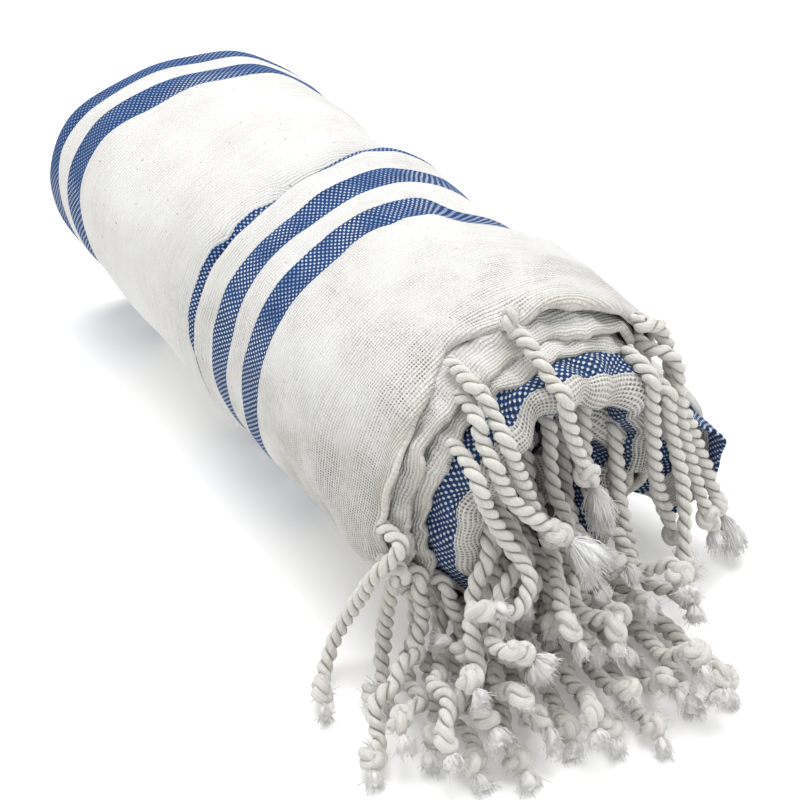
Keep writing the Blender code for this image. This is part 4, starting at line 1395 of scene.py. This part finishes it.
def lay_cord(strands, route, draw):
    """The two-ply cord from its root to its knot."""
    points, run = smooth_route(route, TWIST_LENGTH / RINGS_A_TURN)
    keep = run <= run[-1] - CORD_END
    points, run = points[keep], run[keep]
    rate = 1.0 + 0.07 * np.sin(run * 2.0 * math.pi / 0.034 + any_phase(draw)) * draw.random()
    twist = -np.cumsum(rate) / RINGS_A_TURN + draw.random()
    size = 1.0 + 0.05 * np.sin(run * 2.0 * math.pi / (0.015 + 0.02 * draw.random()) + any_phase(draw))
    size *= 1.0 - 0.12 * np.exp(-run / 0.004)
    size *= 0.97 + 0.07 * draw.random()
    uneven = 0.06 * (draw.random() - 0.5)
    # The section is two round plies side by side, with a sharp groove where they meet; its mask also paints
    # shade into the groove.
    places = np.array([half + place for half in (0, 180) for place in PLY_PLACES] + [360]) / 360.0
    angle = places[None, :] * 2.0 * math.pi
    across_ply = np.abs(np.sin(angle))
    radius = PLY_OFFSET * np.abs(np.cos(angle)) + np.sqrt(PLY_RADIUS ** 2 - (PLY_OFFSET * across_ply) ** 2)
    groove = across_ply ** 40
    radius = (radius - PLY_GROOVE * groove) * (1.0 + uneven * np.cos(angle))
    turned = angle + twist[:, None] * 2.0 * math.pi
    made = tube(points, *crosswise(headings(points)), turned, radius * size[:, None])
    strands.grid(made[:, :-1], places[None, :] + twist[:, None], run[:, None], CORD_LOOK, groove[:, :-1])


def lay_knot(strands, middle, heading, draw, scale):
    """An overhand knot drawn up tight: a trefoil whose passes press into one another."""
    basis = unit(np.cross(heading, draw.normal(size=3)))
    third = np.cross(heading, basis)
    at = np.linspace(0.0, 2.0 * math.pi, KNOT_POINTS, endpoint=False)
    ring = KNOT_RING + KNOT_LOBES * np.cos(3.0 * at)
    places = (ring * np.cos(2.0 * at) * KNOT_STRETCH, ring * np.sin(2.0 * at), KNOT_RISE * np.sin(3.0 * at))
    local = np.stack(places, axis=1) * scale * (1.0 + 0.10 * (draw.random(3) - 0.5))
    points = middle + local[:, :1] * heading + local[:, 1:2] * basis + local[:, 2:] * third
    along = headings(points, True)
    side, lift = crosswise(along)
    plump = 1.0 + 0.10 * np.sin(3.0 * at + any_phase(draw))
    # The frame has turned by the time it comes back to its start; the difference is spread over the ring.
    last = unit(side[-1] - along[0] * side[-1].dot(along[0]))
    slip = math.atan2(np.dot(last, lift[0]), np.dot(last, side[0]))
    round_places = np.arange(KNOT_SIDES + 1) / KNOT_SIDES
    angle = round_places[None, :] * 2.0 * math.pi
    turned = angle - (at / (2.0 * math.pi) * slip)[:, None]
    ridge = 1.0 + 0.07 * np.cos(angle * 4.0 + at[:, None] * 3.0)
    made = tube(points, side, lift, turned, KNOT_TUBE * scale * plump[:, None] * ridge)
    made = np.concatenate((made, made[:1]))
    length = np.append(at, 2.0 * math.pi) * KNOT_YARN
    strands.grid(made[:, :-1], round_places, length[:, None], CORD_LOOK, capped=False)


class Tuft:
    """Loose yarn past the knot: a soft brush cut about level, with single fibres standing off it."""

    def __init__(self, start, heading, length, spread, draw):
        self.start = start
        self.heading = heading
        self.length = length
        self.spread = spread
        basis = unit(level_side(heading))
        third = np.cross(heading, basis)
        roll = draw.random() * math.pi
        self.wide = basis * math.cos(roll) + third * math.sin(roll)
        self.thin = np.cross(heading, self.wide) * (0.50 + 0.3 * draw.random())
        self.lean = (self.wide * (draw.random() - 0.5) + self.thin * (draw.random() - 0.5)) * 0.5

    def axis(self, steps, long):
        """Points along the brush's own middle line."""
        made = self.start + self.heading * (long * steps)[:, None]
        made = made + self.lean * (long * steps ** 1.6)[:, None]
        made[:, 2] -= DROOP * steps ** 2
        return made

    def lay_body(self, strands, draw):
        """The body: ridges of yarn that spread towards the cut."""
        steps, opening = np.array(TUFT_BODY).T
        angle = np.arange(BODY_SIDES) * 2.0 * math.pi / BODY_SIDES
        ridges = 1.0 + 0.10 * np.sin(angle * 3.0 + any_phase(draw))
        ridges = ridges + 0.08 * np.sin(angle * 7.0 + any_phase(draw))
        cut = 1.0 + 0.06 * np.sin(angle * 2.0 + any_phase(draw)) + 0.05 * draw.normal(size=BODY_SIDES)
        reach = (0.0013 + self.spread * 0.74 * steps ** 0.8)[:, None] * (opening * 0.5 + 0.5)[:, None]
        reach = reach * (1.0 + (ridges - 1.0)[None, :] * np.minimum(steps * 2.0, 1.0)[:, None])
        reach[-1] *= 0.45
        ring = self.wide * np.cos(angle)[:, None] + self.thin * np.sin(angle)[:, None]
        body = self.axis(steps * BODY_SHARE, self.length)[:, None, :] + ring[None] * reach[..., None]
        uneven_cut = self.length * BODY_SHARE * (steps ** 3)[:, None] * (cut - 1.0)[None, :]
        body += self.heading * uneven_cut[..., None]
        body[..., 2] = np.maximum(body[..., 2], 0.0002)
        u = np.arange(BODY_SIDES + 1) * 0.9
        strands.grid(body, u, (steps * self.length * YARN_DETAIL)[:, None], YARN_LOOK)

    def lay_fibres(self, strands, count, draw):
        steps = np.linspace(0.0, 1.0, 4 if self.length > LONG_TUFT else 3)
        for _ in range(count):
            away_share = 0.70 + 0.40 * draw.random()
            angle = draw.random() * 2.0 * math.pi
            away = (self.wide * math.cos(angle) + self.thin * math.sin(angle)) * away_share
            long = self.length * (0.72 + 0.34 * draw.random())
            curl = draw.normal(size=3) * 0.0013
            path = self.axis(steps, long) + away * (0.0012 + self.spread * steps ** 0.8)[:, None]
            path = path + curl * (np.sin(steps * math.pi * (0.8 + draw.random())) * steps)[:, None]
            thickness = (0.00013 + 0.00009 * draw.random()) * (1.0 - 0.45 * steps)
            u = draw.random() * 9.0 + np.arange(FIBRE_SIDES + 1) * 0.2
            strands.fibre(path, thickness, u, (steps * long * YARN_DETAIL)[:, None], YARN_LOOK)


def lay_fuzz(strands, middle, draw, count):
    """Short fibres that stand off a knot."""
    steps = np.linspace(0.0, 1.0, 4)
    for _ in range(count):
        away = draw.normal(size=3)
        away /= np.linalg.norm(away)
        bend = np.cross(away, draw.normal(size=3)) * 0.0016
        path = middle + away * (0.0030 + 0.0023 * steps)[:, None] + bend * (steps ** 2)[:, None]
        strands.fibre(path, 0.00011 * (1.0 - 0.5 * steps), draw.random() * 9.0, steps[:, None], CORD_LOOK)


def dressed_route(number, hem, column, route):
    """A cord's route led out of the dressed hem, and the direction out of the roll at its root."""
    if (number, column) in CUT_SHORT:
        route = route[:-CUT_SHORT[number, column]]
    # The cord starts inside the hem that it was spun from.
    start = route[0] + np.array((0.0, ROOT_RUN, 0.0))
    outward = unit(start - np.array((CENTRE_X, start[1], CENTRE_Z)))
    route = np.concatenate(((start + outward * ROOT_LIFT,), route))
    run = running(step_lengths(route))
    # Near its root it goes with the shoulder, with its hem's line and with its own place on the hem.
    turn = cord_turn(hem, column)
    angle = math.radians(float(angle_of(turn)))
    away = np.array((math.cos(angle), 0.0, math.sin(angle)))
    beside = np.array((-math.sin(angle), 0.0, math.cos(angle)))
    out = float(shoulder(turn, PACK * turn, 0.0))
    shift = math.radians(ROOT_MOVES.get((number, column), 0.0)) * (HALF_WIDTH - PACK * turn)
    hem_back = float(value_at(FRONT_HEM, "back", angle_of(turn))) if number == 0 else 0.0
    route = route + away * (out * np.exp(-run / SHOULDER_EASE))[:, None]
    route = route + beside * (shift * bell(run, 0.0, MOVE_EASE))[:, None]
    route[:, 1] += hem_back * np.exp(-run / HEM_EASE)
    return route, away


def lay_whole_cord(strands, place, route, away, draw):
    """A cord with its knot and its brush, and the second knot where it has one."""
    lay_cord(strands, route, draw)
    points, run = smooth_route(route, 0.0005)
    along = headings(points)
    at = int(np.searchsorted(run, run[-1] - KNOT_FROM_TIP))
    lay_knot(strands, points[at], along[at], draw, 0.96 + 0.12 * draw.random())
    lay_fuzz(strands, points[at], draw, KNOT_FUZZ)
    at = int(np.searchsorted(run, run[-1] - YARN_FROM_TIP))
    full = place in FULL_TUFTS
    length = FULL_LENGTH if full else 0.0032 + 0.0028 * draw.random()
    spread = FULL_SPREAD if full else 0.0014 + 0.0012 * draw.random()
    tuft = Tuft(points[at], along[at], length, spread, draw)
    tuft.lay_body(strands, draw)
    tuft.lay_fibres(strands, FULL_FIBRES if full else TUFT_FIBRES, draw)
    if place == ROOT_KNOT:
        middle = route[1] + away * ROOT_KNOT_OUT
        lay_knot(strands, middle, away, draw, ROOT_KNOT_SIZE)
        lay_fuzz(strands, middle, draw, ROOT_KNOT_FUZZ)


def lay_fringe():
    draw = np.random.default_rng(2024)
    owners, routes = draw_cords()
    for number, hem in enumerate(HEMS):
        strands = Strands()
        for (owner, column), route in zip(owners, routes):
            if owner == number:
                dressed, away = dressed_route(number, hem, column, route)
                lay_whole_cord(strands, (number, column), dressed, away, draw)
        piece = strands.build("%s_cords" % hem.name)
        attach(piece, "root")
        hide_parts(hem.name)


lay_fringe()
